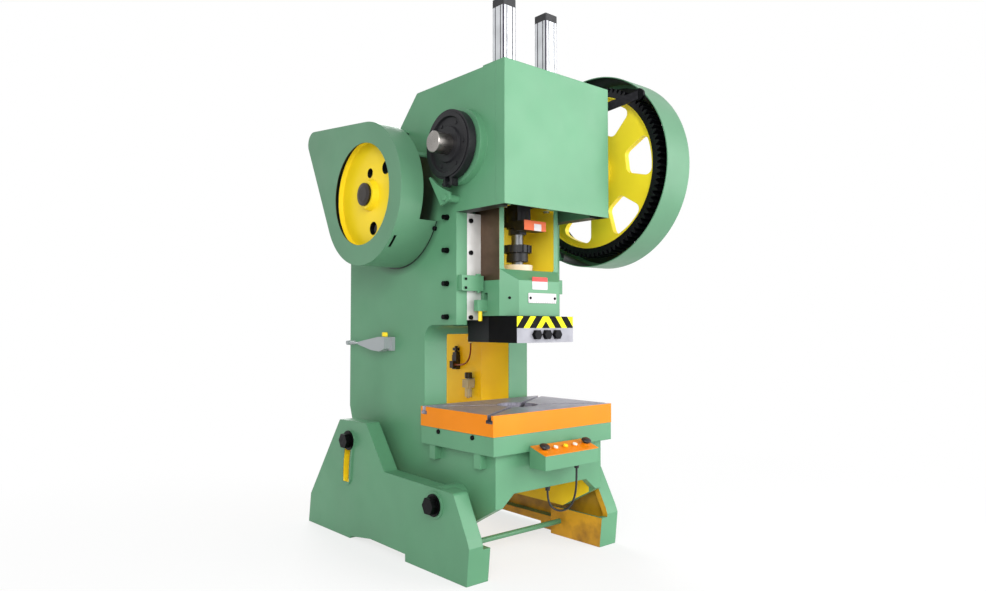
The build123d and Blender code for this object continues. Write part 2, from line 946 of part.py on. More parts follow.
with BuildPart() as head_cover:
    add(block(-frame_half, frame_half, cover_front, head_front, head_bottom, cover_top))
    add(block(-frame_half + cover_sheet, frame_half - cover_sheet, cover_front + cover_sheet,
              head_front, head_bottom, head_top), mode=Mode.SUBTRACT)
    add(block(-frame_half, frame_half, head_front, cover_front + cover_top_return,
              head_top, cover_top))
save(head_cover, "head_cover")

with BuildPart() as bolster_plate:
    add(block(-bolster_half, bolster_half, -bolster_reach, bolster_reach, bed_top, bolster_top))
    for depth, height, width in (
        (slot_neck, slot_neck, slot_width),
        (slot_neck + slot_foot_height, slot_foot_height, slot_foot_width),
    ):
        with BuildSketch(Plane.XY.offset(bolster_top - depth)):
            for turn in (-slot_angle, slot_angle):
                Rectangle(4 * bolster_half, width, rotation=turn)
        extrude(amount=height, mode=Mode.SUBTRACT)
    with Locations((0, 0, bed_top + bolster_thickness / 2)):
        Cylinder(bolster_hole_radius, 2 * bolster_thickness, mode=Mode.SUBTRACT)
    with Locations((0, 0, bolster_top)):
        Cylinder(bolster_step_radius, 2 * bolster_step_depth, mode=Mode.SUBTRACT)
save(bolster_plate, "bolster_plate")


# Gibs that guide the slide


def make_gib(side):
    """Gib with a vee ridge toward the slide."""
    inner = slide_half + sliding_gap
    ridge = inner - vee_half
    outer = inner + gib_width
    with BuildPart() as gib:
        with BuildSketch(Plane.XY.offset(gib_bottom)):
            with BuildLine():
                Polyline((side * outer, guide_front), (side * inner, guide_front),
                         (side * inner, vee_centre - vee_half), (side * ridge, vee_centre),
                         (side * inner, vee_centre + vee_half), (side * inner, guide_back),
                         (side * outer, guide_back), close=True)
            make_face()
        extrude(amount=head_bottom - gib_bottom)
        for rise in gib_bolt_places:
            add(gib_front_bolt(side, rise), mode=Mode.SUBTRACT)
    return gib.part


with BuildPart() as gib_left:
    add(make_gib(-1))
save(gib_left, "gib_left")

with BuildPart() as gib_right:
    add(make_gib(1))
save(gib_right, "gib_right")

with BuildPart() as gib_bolts:
    for side in (-1, 1):
        for rise in gib_bolt_places:
            add(gib_front_bolt(side, rise))
        for rise in gib_side_places:
            add(gib_side_bolt(side, rise))
save(gib_bolts, "gib_bolts")

stop_tip = bar_bottom + bar_height + bar_lift + clear_gap
stop_y = guide_front - stop_thickness + stop_screw
with BuildPart() as stop_brackets:
    for side in (-1, 1):
        near = side * stop_inner
        far = side * stop_outer
        add(block(min(near, far), max(near, far), guide_front - stop_thickness, guide_front,
                  stop_tip + stop_reach, stop_tip + stop_reach + stop_height))
        with BuildSketch(Plane.XY.offset(stop_tip)):
            with Locations((side * bar_pin_x, stop_y)):
                Circle(stop_screw)
        extrude(amount=stop_reach + stop_height)
        with BuildSketch(Plane.XY.offset(stop_tip + stop_reach + stop_height)):
            with Locations((side * bar_pin_x, stop_y)):
                RegularPolygon(stop_nut, 6)
        extrude(amount=stop_screw)
save(stop_brackets, "stop_brackets")

# Crankshaft, its bushes and the clutch collar
shaft_end = gear_left + gear_face + pinion_extra + sliding_gap
bush_outer_x = frame_half + boss_height


def make_crankshaft():
    """Forged shaft with one crank pin between two cheeks, and the clutch collar."""
    bearing = frame_half - head_wall - collar_lip
    with BuildPart() as shaft:
        add(turned(((-left_end, 0), (-left_end, shaft_radius - shaft_chamfer),
                    (-left_end + shaft_chamfer, shaft_radius),
                    (-bush_outer_x - collar_lip, shaft_radius),
                    (-bush_outer_x - collar_lip, journal_radius),
                    (-bearing, journal_radius), (-bearing, shaft_radius),
                    (-pin_half, shaft_radius), (-pin_half, 0)), 0, crank_z))
        add(turned(((pin_half, 0), (pin_half, shaft_radius), (bearing, shaft_radius),
                    (bearing, journal_radius), (shaft_end, journal_radius), (shaft_end, 0)),
                   0, crank_z))
        add(rod_along_x(-pin_half, pin_half, 0, crank_z + throw, pin_radius))
        for x in (-pin_half - cheek_thickness, pin_half):
            with BuildSketch(Plane.YZ.offset(x)):
                add(band_outline((0, crank_z), cheek_radius, (0, crank_z + throw), cheek_pin_radius))
            extrude(amount=cheek_thickness)
        collar_left = bush_outer_x + collar_gap
        add(rod_along_x(collar_left, collar_left + collar_width, 0, crank_z, collar_radius))
        for y in (-1, 1):
            middle = y * (collar_radius - key_depth)
            add(block(collar_left, collar_left + collar_width, middle - key_half, middle + key_half,
                      crank_z - key_half, crank_z + key_half))
    return shaft.part


with BuildPart() as crankshaft:
    add(make_crankshaft())
save(crankshaft, "crankshaft")


def bush(x0, x1, y, z, bore, wall):
    """Plain bush along X."""
    with BuildPart() as ring:
        add(rod_along_x(x0, x1, y, z, bore + wall))
        add(rod_along_x(x0 - 1, x1 + 1, y, z, bore), mode=Mode.SUBTRACT)
    return ring.part


with BuildPart() as crank_bushes:
    bore = journal_radius + running_gap
    add(bush(-bush_outer_x, -frame_half + head_wall, 0, crank_z, bore, bush_wall - running_gap))
    add(bush(frame_half - head_wall, bush_outer_x, 0, crank_z, bore, bush_wall - running_gap))
save(crank_bushes, "crank_bushes")

with BuildPart() as shaft_bushes:
    bore = drive_radius + running_gap
    outer = frame_half + housing_height
    inner = frame_half - side_wall
    add(bush(-outer, -inner, drive_y, drive_z, bore, bush_wall))
    add(bush(inner, outer, drive_y, drive_z, bore, bush_wall))
save(shaft_bushes, "shaft_bushes")

with BuildPart() as gear_end_plate:
    add(rod_along_x(shaft_end, shaft_end + end_plate, 0, crank_z, end_plate_radius))
    with BuildSketch(Plane.YZ.offset(shaft_end + end_plate)):
        with Locations((0, crank_z)):
            with PolarLocations(end_bolt_ring, 3, start_angle=90):
                RegularPolygon(end_bolt, 6)
    extrude(amount=end_bolt_height)
save(gear_end_plate, "gear_end_plate")

# Brake on the left end of the crankshaft
drum_right = drum_left + drum_width
with BuildPart() as brake_drum:
    add(turned(((drum_left, shaft_radius), (drum_left, drum_hub),
                (drum_left + drum_dish, drum_hub + drum_slope),
                (drum_left + drum_dish, drum_radius - drum_rim - drum_slope),
                (drum_left, drum_radius - drum_rim),
                (drum_left, drum_radius), (drum_right, drum_radius),
                (drum_right, shaft_radius)), 0, crank_z))
    for turn in range(0, 360, 60):
        add(rod_along_x(drum_left + drum_dish - drum_bolt_show, drum_right,
                        drum_bolt_ring * cos(radians(turn)),
                        crank_z + drum_bolt_ring * sin(radians(turn)), drum_bolt))
save(brake_drum, "brake_drum")

band_inner = drum_radius + sliding_gap
band_outer = band_inner + band_lining + band_steel


def brake_ear(side):
    """Ear at one end of the brake band, hanging below the drum."""
    near = side * ear_gap / 2
    far = near + side * ear_thickness
    return block(drum_left + ear_inset, drum_right - ear_inset, min(near, far), max(near, far),
                 crank_z - band_outer - ear_drop, crank_z - band_inner - band_lining / 2)


with BuildPart() as brake_band:
    with BuildSketch(Plane.YZ.offset(drum_left + band_inset)):
        with Locations((0, crank_z)):
            Circle(band_outer)
            Circle(band_inner, mode=Mode.SUBTRACT)
        with Locations((0, crank_z - band_outer)):
            Rectangle(ear_gap, drum_width, mode=Mode.SUBTRACT)
    extrude(amount=drum_width - 2 * band_inset)
    for side in (-1, 1):
        add(brake_ear(side))
    with BuildSketch(Plane.XZ.offset(-tension_back)):
        with Locations(((drum_left + drum_right) / 2, crank_z - band_outer - ear_drop / 2)):
            Circle(tension_bolt)
    extrude(amount=tension_back - tension_reach)
    for start in (tension_back, ear_gap / 2 + ear_thickness):
        with BuildSketch(Plane.XZ.offset(-start)):
            with Locations(((drum_left + drum_right) / 2, crank_z - band_outer - ear_drop / 2)):
                RegularPolygon(tension_nut, 6)
        extrude(amount=-tension_bolt)
save(brake_band, "brake_band")

bracket_x = -bush_outer_x - brake_plate_gap
pin_place = (brake_pin_place[0], crank_z + brake_pin_place[1])
with BuildPart() as brake_bracket:
    with BuildSketch(Plane.YZ.offset(bracket_x - brake_plate)) as plate:
        with BuildLine():
            Polyline(*((y, crank_z + z) for y, z in brake_plate_corners), close=True)
        make_face()
        fillet(plate.vertices(), brake_plate / 2)
    extrude(amount=brake_plate)
    add(rod_along_x(bracket_x, -frame_half, *pin_place, brake_pin))
    with BuildSketch(Plane.YZ.offset(bracket_x - 2 * brake_plate)):
        with Locations(pin_place):
            RegularPolygon(brake_pin_nut, 6)
    extrude(amount=brake_plate)
save(brake_bracket, "brake_bracket")


# Connecting rod, opened at the ball: it stays upright on the crank pin
pin_z = crank_z + throw
rod_outer = pin_radius + rod_bore_wall
rod_end_z = ball_z + screw_show
rod_bolt_reach = rod_outer + rod_lug_reach - rod_bolt_inset
rod_bolt_places = [(x, y) for y in (-rod_bolt_reach, rod_bolt_reach) for x in (-rod_half / 2, rod_half / 2)]


def rod_big_end(lower):
    """Half of the split big end, with the lugs for its bolts."""
    with BuildPart() as half:
        with BuildSketch(Plane.YZ.offset(-rod_half)):
            with Locations((0, pin_z)):
                Circle(rod_outer)
                Rectangle(2 * (rod_outer + rod_lug_reach), 2 * rod_lug)
                Circle(pin_radius + running_gap, mode=Mode.SUBTRACT)
            with Locations((0, pin_z + (far_cut if lower else -far_cut) / 2)):
                Rectangle(far_cut, far_cut, mode=Mode.SUBTRACT)
        extrude(amount=2 * rod_half)
        with Locations(*((x, y, pin_z) for x, y in rod_bolt_places)):
            Cylinder(rod_bolt, 4 * rod_lug, mode=Mode.SUBTRACT)
    return half.part


with BuildPart() as connecting_rod:
    add(rod_big_end(True))
    add(block(-rod_half + rod_shank_inset, rod_half - rod_shank_inset, -rod_shank_half,
              rod_shank_half, rod_end_z + rod_skirt / 2, pin_z - pin_radius - rod_skirt / 2))
    with Locations((0, 0, rod_end_z + rod_collar_height / 2)):
        Cylinder(rod_shank_half + rod_collar, rod_collar_height)
    add(block(-rod_block_half, rod_block_half, rod_block_front, 0, rod_end_z,
              rod_end_z - rod_block_drop + rod_block_height))
    add(block(-rod_block_half, rod_block_half, rod_block_front, -rod_shank_half - rod_collar,
              rod_end_z - rod_block_drop, rod_end_z))
    with Locations((0, 0, rod_end_z)):
        Cylinder(screw_radius, 2 * screw_grip, mode=Mode.SUBTRACT)
save(connecting_rod, "connecting_rod")

with BuildPart() as rod_cap:
    add(rod_big_end(False))
save(rod_cap, "rod_cap")

with BuildPart() as rod_cap_bolts:
    with Locations(*((x, y, pin_z) for x, y in rod_bolt_places)):
        Cylinder(rod_bolt, 2 * rod_lug)
    for z in (pin_z + rod_lug, pin_z - rod_lug - rod_bolt_nut_height):
        with BuildSketch(Plane.XY.offset(z)):
            with Locations(*rod_bolt_places):
                RegularPolygon(rod_bolt_nut, 6)
        extrude(amount=rod_bolt_nut_height)
save(rod_cap_bolts, "rod_cap_bolts")

with BuildPart() as adjusting_screw:
    with Locations((0, 0, ball_z)):
        Sphere(ball_radius)
    with BuildSketch(Plane.XY.offset(ball_z)):
        Circle(screw_radius)
    extrude(amount=rod_end_z + screw_grip - 4 - ball_z)
save(adjusting_screw, "adjusting_screw")

with BuildPart() as screw_nuts:
    with BuildSketch(Plane.XY.offset(ball_z + nut_rise)):
        Circle(nut_radius)
        with PolarLocations(nut_radius, nut_teeth):
            Rectangle(nut_tooth_gap, nut_tooth_gap, mode=Mode.SUBTRACT)
    extrude(amount=nut_height)
    with BuildSketch(Plane.XY.offset(ball_z + nut_collar_rise)):
        Circle(nut_collar_radius)
    extrude(amount=nut_rise - nut_collar_rise)
    with BuildSketch(Plane.XY.offset(rod_end_z - lock_nut_height)):
        RegularPolygon(lock_nut_radius, 6)
    extrude(amount=lock_nut_height)
    with BuildSketch(Plane.XY.offset(ball_z)):
        Circle(screw_radius)
    extrude(amount=rod_end_z - ball_z, mode=Mode.SUBTRACT)
save(screw_nuts, "screw_nuts")

# Slide
pocket_radius = ball_radius + clear_gap
seat_radius = pocket_radius + seat_wall
seat_bottom = ball_z - ball_radius - ball_lift - seat_wall


def long_round(radius):
    """Sketch of a round stretched to the back by the swing of the ball."""
    with BuildSketch() as shape:
        with Locations((0, throw / 2)):
            SlotCenterToCenter(throw, 2 * radius, rotation=90)
    return shape.sketch


def make_slide():
    """Casting: guided body with a window, a pad in front and a pocket for the ball."""
    inner = slide_half - slide_post
    with BuildPart() as slide:
        with BuildSketch(Plane.XY.offset(slide_bottom)):
            with BuildLine():
                Polyline((-slide_half, slide_back), (-slide_half, slide_front),
                         (-pad_half, pad_front), (pad_half, pad_front),
                         (slide_half, slide_front), (slide_half, slide_back), close=True)
            make_face()
        extrude(amount=slide_top - slide_bottom)
        add(block(-far_cut, far_cut, pad_front - 1, slide_front, slide_sill, slide_top + 1),
            mode=Mode.SUBTRACT)
        slope = side_profile(((pad_front - 1, slide_sill - pad_slope), (slide_front, slide_sill),
                              (slide_front, slide_sill + 1), (pad_front - 1, slide_sill + 1)),
                             -far_cut, far_cut)
        add(slope, mode=Mode.SUBTRACT)
        with BuildSketch(Plane.XZ.offset(-slide_front + 1)) as window:
            with Locations((0, (slide_sill + slide_top + 60) / 2)):
                Rectangle(2 * inner, slide_top + 60 - slide_sill)
            fillet(window.vertices().group_by(Axis.Y)[0], window_round)
        extrude(amount=-(slide_back - slide_back_wall - slide_front + 1), mode=Mode.SUBTRACT)
        for side in (-1, 1):
            with BuildSketch(Plane.XY.offset(slide_bottom - 1)):
                with BuildLine():
                    Polyline((side * (slide_half + 1), vee_centre - vee_half - 1),
                             (side * (slide_half - vee_half), vee_centre),
                             (side * (slide_half + 1), vee_centre + vee_half + 1), close=True)
                make_face()
            extrude(amount=slide_top - slide_bottom + 2, mode=Mode.SUBTRACT)
            near = side * (cylinder_x - piston_rod - 8)
            far = side * inner
            add(block(min(near, far), max(near, far), slide_front,
                      cylinder_y + piston_rod + 6, slide_top - lug_height, slide_top))
            with Locations((side * cylinder_x, cylinder_y, slide_top)):
                Cylinder(piston_rod, 4 * lug_height, mode=Mode.SUBTRACT)
        with BuildSketch(Plane.XY.offset(seat_bottom)):
            add(long_round(seat_radius))
        extrude(amount=slide_sill - seat_bottom + 1, mode=Mode.SUBTRACT)
        add(block(-far_cut, far_cut, bar_y - bar_thickness / 2 - sliding_gap,
                  bar_y + bar_thickness / 2 + sliding_gap, bar_bottom - sliding_gap,
                  bar_bottom + bar_height + bar_lift + sliding_gap), mode=Mode.SUBTRACT)
        with Locations((0, 0, slide_bottom)):
            Cylinder(shank_radius * 0.6, 2 * (bar_bottom - slide_bottom) + 2, mode=Mode.SUBTRACT)
    return slide.part


with BuildPart() as slide:
    add(make_slide())
save(slide, "slide")

with BuildPart() as ball_seat:
    with BuildSketch(Plane.XY.offset(seat_bottom)):
        add(long_round(seat_radius))
    extrude(amount=slide_sill - seat_bottom)
    with BuildSketch(Plane.XY.offset(seat_bottom + seat_wall)):
        add(long_round(pocket_radius))
    extrude(amount=slide_sill - seat_bottom, mode=Mode.SUBTRACT)
save(ball_seat, "ball_seat")

with BuildPart() as ball_cover:
    with BuildSketch(Plane.XY.offset(slide_sill)):
        add(long_round(seat_radius + ball_cap_rim))
        add(long_round(ball_radius - 4), mode=Mode.SUBTRACT)
    extrude(amount=ball_cap)
save(ball_cover, "ball_cover")


def shank_cut():
    """Upright bore for the die shank."""
    with BuildPart() as bore:
        with BuildSketch(Plane.XY.offset(foot_bottom - 1)):
            Circle(shank_radius)
        extrude(amount=slide_bottom - foot_bottom + 2)
    return bore.part


def clamp_stud(x):
    """Stud with its nut, through the clamp block into the slide foot."""
    with BuildPart() as stud:
        with BuildSketch(Plane.XZ.offset(-clamp_front)):
            with Locations((x, clamp_bolt_z)):
                Circle(clamp_shank)
        extrude(amount=-(foot_reach - 20 - clamp_front) if x else clamp_front + shank_radius + 14)
        with BuildSketch(Plane.XZ.offset(-clamp_front)):
            with Locations((x, clamp_bolt_z)):
                RegularPolygon(clamp_nut, 6)
        extrude(amount=clamp_nut_height)
    return stud.part


with BuildPart() as slide_foot:
    half = foot_half - foot_inset
    add(block(-half, half, clamp_split / 2, foot_reach, foot_bottom, slide_bottom))
    add(shank_cut(), mode=Mode.SUBTRACT)
    for x in (-clamp_bolt_pitch, clamp_bolt_pitch):
        add(clamp_stud(x), mode=Mode.SUBTRACT)
save(slide_foot, "slide_foot")

with BuildPart() as clamp_block:
    add(block(-foot_half, foot_half, clamp_front, -clamp_split / 2, foot_bottom,
              slide_bottom - 2))
    add(shank_cut(), mode=Mode.SUBTRACT)
    for x in (-clamp_bolt_pitch, 0, clamp_bolt_pitch):
        add(clamp_stud(x), mode=Mode.SUBTRACT)
save(clamp_block, "clamp_block")

with BuildPart() as clamp_bolts:
    for x in (-clamp_bolt_pitch, 0, clamp_bolt_pitch):
        add(clamp_stud(x))
save(clamp_bolts, "clamp_bolts")

with BuildPart() as knockout_bar:
    add(block(-bar_half, bar_half, bar_y - bar_thickness / 2, bar_y + bar_thickness / 2,
              bar_bottom, bar_bottom + bar_height))
    for side in (-1, 1):
        with Locations((side * bar_pin_x, bar_y, bar_bottom - bar_pin_length / 2)):
            Cylinder(bar_pin, bar_pin_length)
save(knockout_bar, "knockout_bar")

# Balance cylinders over the slide
cylinder_foot = head_top
tube_top = cylinder_top - cylinder_cap


def cylinder_section():
    """Square extruded section with a groove pair in each face."""
    with BuildSketch() as section:
        Rectangle(2 * cylinder_half, 2 * cylinder_half)
        fillet(section.vertices(), cylinder_round)
        for turn in range(0, 360, 90):
            for along in (-cylinder_groove_share, cylinder_groove_share):
                with Locations((cylinder_half * cos(radians(turn)) - along * cylinder_half
                                * sin(radians(turn)),
                                cylinder_half * sin(radians(turn)) + along * cylinder_half
                                * cos(radians(turn)))):
                    Rectangle(cylinder_groove, cylinder_groove, mode=Mode.SUBTRACT)
    return section.sketch


with BuildPart() as cylinder_tubes:
    for x in (-cylinder_x, cylinder_x):
        with BuildSketch(Plane.XY.offset(cylinder_foot)):
            with Locations((x, cylinder_y)):
                Rectangle(2 * cylinder_half, 2 * cylinder_half)
        extrude(amount=cylinder_base)
        with BuildSketch(Plane.XY.offset(cylinder_foot + cylinder_base)):
            with Locations((x, cylinder_y)):
                add(cylinder_section())
        extrude(amount=tube_top - cylinder_foot - cylinder_base)
        with BuildSketch(Plane.XY.offset(cylinder_foot + cylinder_base)):
            with Locations((x, cylinder_y)):
                Circle(cylinder_bore)
        extrude(amount=tube_top, mode=Mode.SUBTRACT)
        with Locations((x, cylinder_y, cylinder_foot)):
            Cylinder(piston_rod + cylinder_fit, 3 * cylinder_base, mode=Mode.SUBTRACT)
save(cylinder_tubes, "cylinder_tubes")

with BuildPart() as cylinder_caps:
    with BuildSketch(Plane.XY.offset(tube_top)) as caps:
        with Locations((-cylinder_x, cylinder_y), (cylinder_x, cylinder_y)):
            Rectangle(2 * cylinder_half, 2 * cylinder_half)
        fillet(caps.vertices(), cylinder_cap_round)
    extrude(amount=cylinder_cap)
    chamfer(cylinder_caps.faces().sort_by(Axis.Z)[-1].edges(), cylinder_cap_chamfer)
    chamfer(cylinder_caps.faces().filter_by(Plane.XY).sort_by(Axis.Z)[-2].edges(), cylinder_cap_chamfer)
save(cylinder_caps, "cylinder_caps")

piston_top = tube_top - piston_headroom
with BuildPart() as piston_rods:
    for x in (-cylinder_x, cylinder_x):
        with BuildSketch(Plane.XY.offset(slide_top - lug_height)):
            with Locations((x, cylinder_y)):
                Circle(piston_rod)
        extrude(amount=piston_top - slide_top + lug_height)
        with BuildSketch(Plane.XY.offset(piston_top - piston_height)):
            with Locations((x, cylinder_y)):
                Circle(cylinder_bore - cylinder_fit)
        extrude(amount=piston_height)
        with BuildSketch(Plane.XY.offset(slide_top - lug_height - piston_nut_height)):
            with Locations((x, cylinder_y)):
                RegularPolygon(piston_nut_radius, 6)
        extrude(amount=piston_nut_height)
save(piston_rods, "piston_rods")


# Gear train on the right, flywheel on the left
gear_right = gear_left + gear_face
mesh_angle = degrees(atan2(-drive_drop, drive_y))


def gear_window():
    """One window of the gear web, on the angle 0, with rounded corners."""
    half = radians(window_half_angle)
    narrow = radians(window_narrow_angle)
    with BuildSketch() as window:
        with BuildLine():
            Polyline(
                (window_inner * cos(narrow), -window_inner * sin(narrow)),
                (window_outer * cos(half), -window_outer * sin(half)))
            ThreePointArc(
                (window_outer * cos(half), -window_outer * sin(half)), (window_outer, 0),
                (window_outer * cos(half), window_outer * sin(half)))
            Polyline(
                (window_outer * cos(half), window_outer * sin(half)),
                (window_inner * cos(narrow), window_inner * sin(narrow)))
            Line((window_inner * cos(narrow), window_inner * sin(narrow)),
                 (window_inner * cos(narrow), -window_inner * sin(narrow)))
        make_face()
        fillet(window.vertices(), window_corner)
    return window.sketch


gear_root = gear_module * (gear_teeth / 2 - 1.25)
gear_recess = (gear_face - gear_web) / 2
with BuildPart() as main_gear:
    with BuildSketch(Plane.YZ.offset(gear_left)):
        with Locations((0, crank_z)):
            add(gear_outline(gear_teeth, mesh_angle + 180 / gear_teeth))
    extrude(amount=gear_face)
    for x in (gear_left, gear_right - gear_recess):
        with BuildSketch(Plane.YZ.offset(x)):
            with Locations((0, crank_z)):
                Circle(gear_root - gear_rim)
                Circle(gear_hub_radius, mode=Mode.SUBTRACT)
        extrude(amount=gear_recess, mode=Mode.SUBTRACT)
    with BuildSketch(Plane.YZ.offset(gear_left)):
        with Locations((0, crank_z)):
            for number in range(gear_windows):
                add(gear_window(), rotation=window_turn + 360 * number / gear_windows)
    extrude(amount=gear_face, mode=Mode.SUBTRACT)
    for x in (gear_left - pinion_extra, gear_right):
        add(rod_along_x(x, x + pinion_extra, 0, crank_z, gear_hub_radius))
    add(rod_along_x(gear_left - gear_hub_play, gear_right + gear_hub_play, 0, crank_z,
                    journal_radius + running_gap + gear_bush_wall), mode=Mode.SUBTRACT)
save(main_gear, "main_gear")

with BuildPart() as gear_bush:
    add(bush(gear_left - pinion_extra, gear_right + pinion_extra, 0, crank_z,
             journal_radius + running_gap, gear_bush_wall))
save(gear_bush, "gear_bush")

pinion_left = gear_left - pinion_extra / 2
pinion_right = gear_right + pinion_extra / 2
with BuildPart() as pinion:
    with BuildSketch(Plane.YZ.offset(pinion_left)):
        with Locations((drive_y, drive_z)):
            add(gear_outline(pinion_teeth, mesh_angle + 180))
            Circle(drive_radius, mode=Mode.SUBTRACT)
    extrude(amount=pinion_right - pinion_left)
save(pinion, "pinion")

flywheel_right = flywheel_left + flywheel_width
wheel_middle = flywheel_left + flywheel_width / 2
rim_inner = flywheel_radius - flywheel_rim
hub_left = flywheel_left - 2
hub_right = flywheel_right + 18


def groove(x, radius):
    """Vee groove points for one belt, from the left lip to the right lip."""
    top = belt_width / 2 + belt_gap + 1.5
    floor = belt_width / 2 + belt_gap
    return [(x - top, radius), (x - floor, radius - belt_depth - belt_gap),
            (x + floor, radius - belt_depth - belt_gap), (x + top, radius)]


def belt_centres():
    """Middle lines of the belts across the wheel."""
    first = wheel_middle - belt_pitch * (belt_count - 1) / 2
    return [first + belt_pitch * number for number in range(belt_count)]


with BuildPart() as flywheel:
    outline = [(hub_left, drive_radius), (hub_left, flywheel_hub),
               (wheel_middle - flywheel_web / 2, flywheel_hub + 8),
               (wheel_middle - flywheel_web / 2, rim_inner - 6), (flywheel_left, rim_inner),
               (flywheel_left, flywheel_radius)]
    for x in belt_centres():
        outline += groove(x, flywheel_radius)
    outline += [(flywheel_right, flywheel_radius), (flywheel_right, rim_inner),
                (wheel_middle + flywheel_web / 2, rim_inner - 6),
                (wheel_middle + flywheel_web / 2, flywheel_hub + 8),
                (hub_right, flywheel_hub), (hub_right, drive_radius)]
    add(turned(outline, drive_y, drive_z))
    for turn, radius, size in ((140, 152, 27), (260, 142, 27), (88, 92, 20)):
        add(rod_along_x(flywheel_left, flywheel_right, drive_y + radius * cos(radians(turn)),
                        drive_z + radius * sin(radians(turn)), size), mode=Mode.SUBTRACT)
save(flywheel, "flywheel")

with BuildPart() as drive_shaft:
    add(turned(((hub_left - 14, 0), (hub_left - 14, 30), (hub_left - 10, flywheel_nut),
                (hub_left, flywheel_nut), (hub_left, drive_radius),
                (pinion_right + 6, drive_radius), (pinion_right + 6, 0)), drive_y, drive_z))
save(drive_shaft, "drive_shaft")

with BuildPart() as v_belts:
    for x in belt_centres():
        with BuildSketch(Plane.YZ.offset(x - belt_width / 2)):
            add(band_outline((drive_y, drive_z), flywheel_radius + 1, (motor_y, motor_z),
                             pulley_radius + 1))
            add(band_outline((drive_y, drive_z), flywheel_radius + 1 - belt_depth,
                             (motor_y, motor_z), pulley_radius + 1 - belt_depth),
                mode=Mode.SUBTRACT)
        extrude(amount=belt_width)
save(v_belts, "v_belts")

# Motor, with its shaft toward the belts
with BuildPart() as motor_pulley:
    outline = [(flywheel_left - 4, 0), (flywheel_left - 4, 30), (flywheel_left, 32),
               (flywheel_left, pulley_radius)]
    for x in belt_centres():
        outline += groove(x, pulley_radius)
    outline += [(flywheel_right, pulley_radius), (flywheel_right, motor_shaft),
                (motor_left + 20, motor_shaft), (motor_left + 20, 0)]
    add(turned(outline, motor_y, motor_z))
save(motor_pulley, "motor_pulley")

motor_right = motor_left + motor_length
slope_gap = (motor_y + motor_z - rear_face - rear_shoulder) / sqrt(2)
incline = Plane(origin=(0, motor_y, motor_z), x_dir=(1, 0, 0), z_dir=(0, 1, 1))


def on_incline(x0, x1, y0, y1, z0, z1):
    """Block in the frame of the rear slope, with the motor axis as its origin."""
    with BuildPart() as body:
        with BuildSketch(incline.offset(z0)):
            with Locations(((x0 + x1) / 2, (y0 + y1) / 2)):
                Rectangle(x1 - x0, y1 - y0)
        extrude(amount=z1 - z0)
    return body.part


with BuildPart() as motor_housing:
    with BuildSketch(Plane.YZ.offset(motor_left + 34)):
        with Locations((motor_y, motor_z)):
            Circle(motor_radius - fin_height)
            with PolarLocations(motor_radius - fin_height / 2 - 2, motor_fins):
                Rectangle(fin_height + 4, 4)
    extrude(amount=motor_length - 68)
    add(turned(((motor_left, motor_shaft + 1), (motor_left, 46), (motor_left + 22, 88),
                (motor_left + 34, motor_radius), (motor_left + 40, motor_radius),
                (motor_left + 40, motor_shaft + 1)), motor_y, motor_z))
    add(turned(((motor_right - 40, 0), (motor_right - 40, motor_radius),
                (motor_right, motor_radius), (motor_right, 0)), motor_y, motor_z))
    for x in (motor_left + 60, motor_right - 100):
        add(on_incline(x, x + 40, -96, -44, -motor_foot, -40))
        add(on_incline(x, x + 40, 44, 96, -motor_foot, -40))
    add(on_incline(motor_left + 90, motor_left + 210, -60, 60, motor_radius - 24,
                   motor_radius + 46))
    add(rod_along_x(motor_left - 1, motor_left + 41, motor_y, motor_z, motor_shaft + 1),
        mode=Mode.SUBTRACT)
    add(turned(((motor_right, 0), (motor_right, motor_radius + 3), (motor_right + 50, motor_radius - 4),
                (motor_right + 62, motor_radius - 20), (motor_right + 62, 0)), motor_y, motor_z))
    for ring, count in ((70, 18), (48, 12), (26, 6)):
        with BuildSketch(Plane.YZ.offset(motor_right + 50)):
            with Locations((motor_y, motor_z)):
                with PolarLocations(ring, count):
                    Rectangle(15, 6)
        extrude(amount=20, mode=Mode.SUBTRACT)
save(motor_housing, "motor_housing")

motor_mid = (motor_left + motor_right) / 2
with BuildPart() as motor_bracket:
    half = motor_plate_width / 2
    reach = motor_plate_reach / 2
    add(on_incline(motor_mid - half, motor_mid + half, -reach, reach,
                   -motor_foot - motor_plate_thickness, -motor_foot))
    for x in (motor_mid - half + 40, motor_mid + half - 40 - motor_rib):
        add(on_incline(x, x + motor_rib, -reach + 20, reach - 20, -slope_gap,
                       -motor_foot - motor_plate_thickness))
    add(on_incline(motor_mid - half + 20, motor_mid + half - 20, -reach + 20, -reach + 44,
                   -slope_gap, -slope_gap + 18))
    add(on_incline(motor_mid - half + 20, motor_mid + half - 20, reach - 44, reach - 20,
                   -slope_gap, -slope_gap + 18))
save(motor_bracket, "motor_bracket")

# Guards
guard_first = (drive_y, drive_z)
guard_end = (guard_end_y, guard_end_z)


def guard_outline(grow):
    """Outline of the flywheel guard, moved outward by grow."""
    return band_outline(guard_first, guard_radius, guard_end, guard_end_radius, grow)


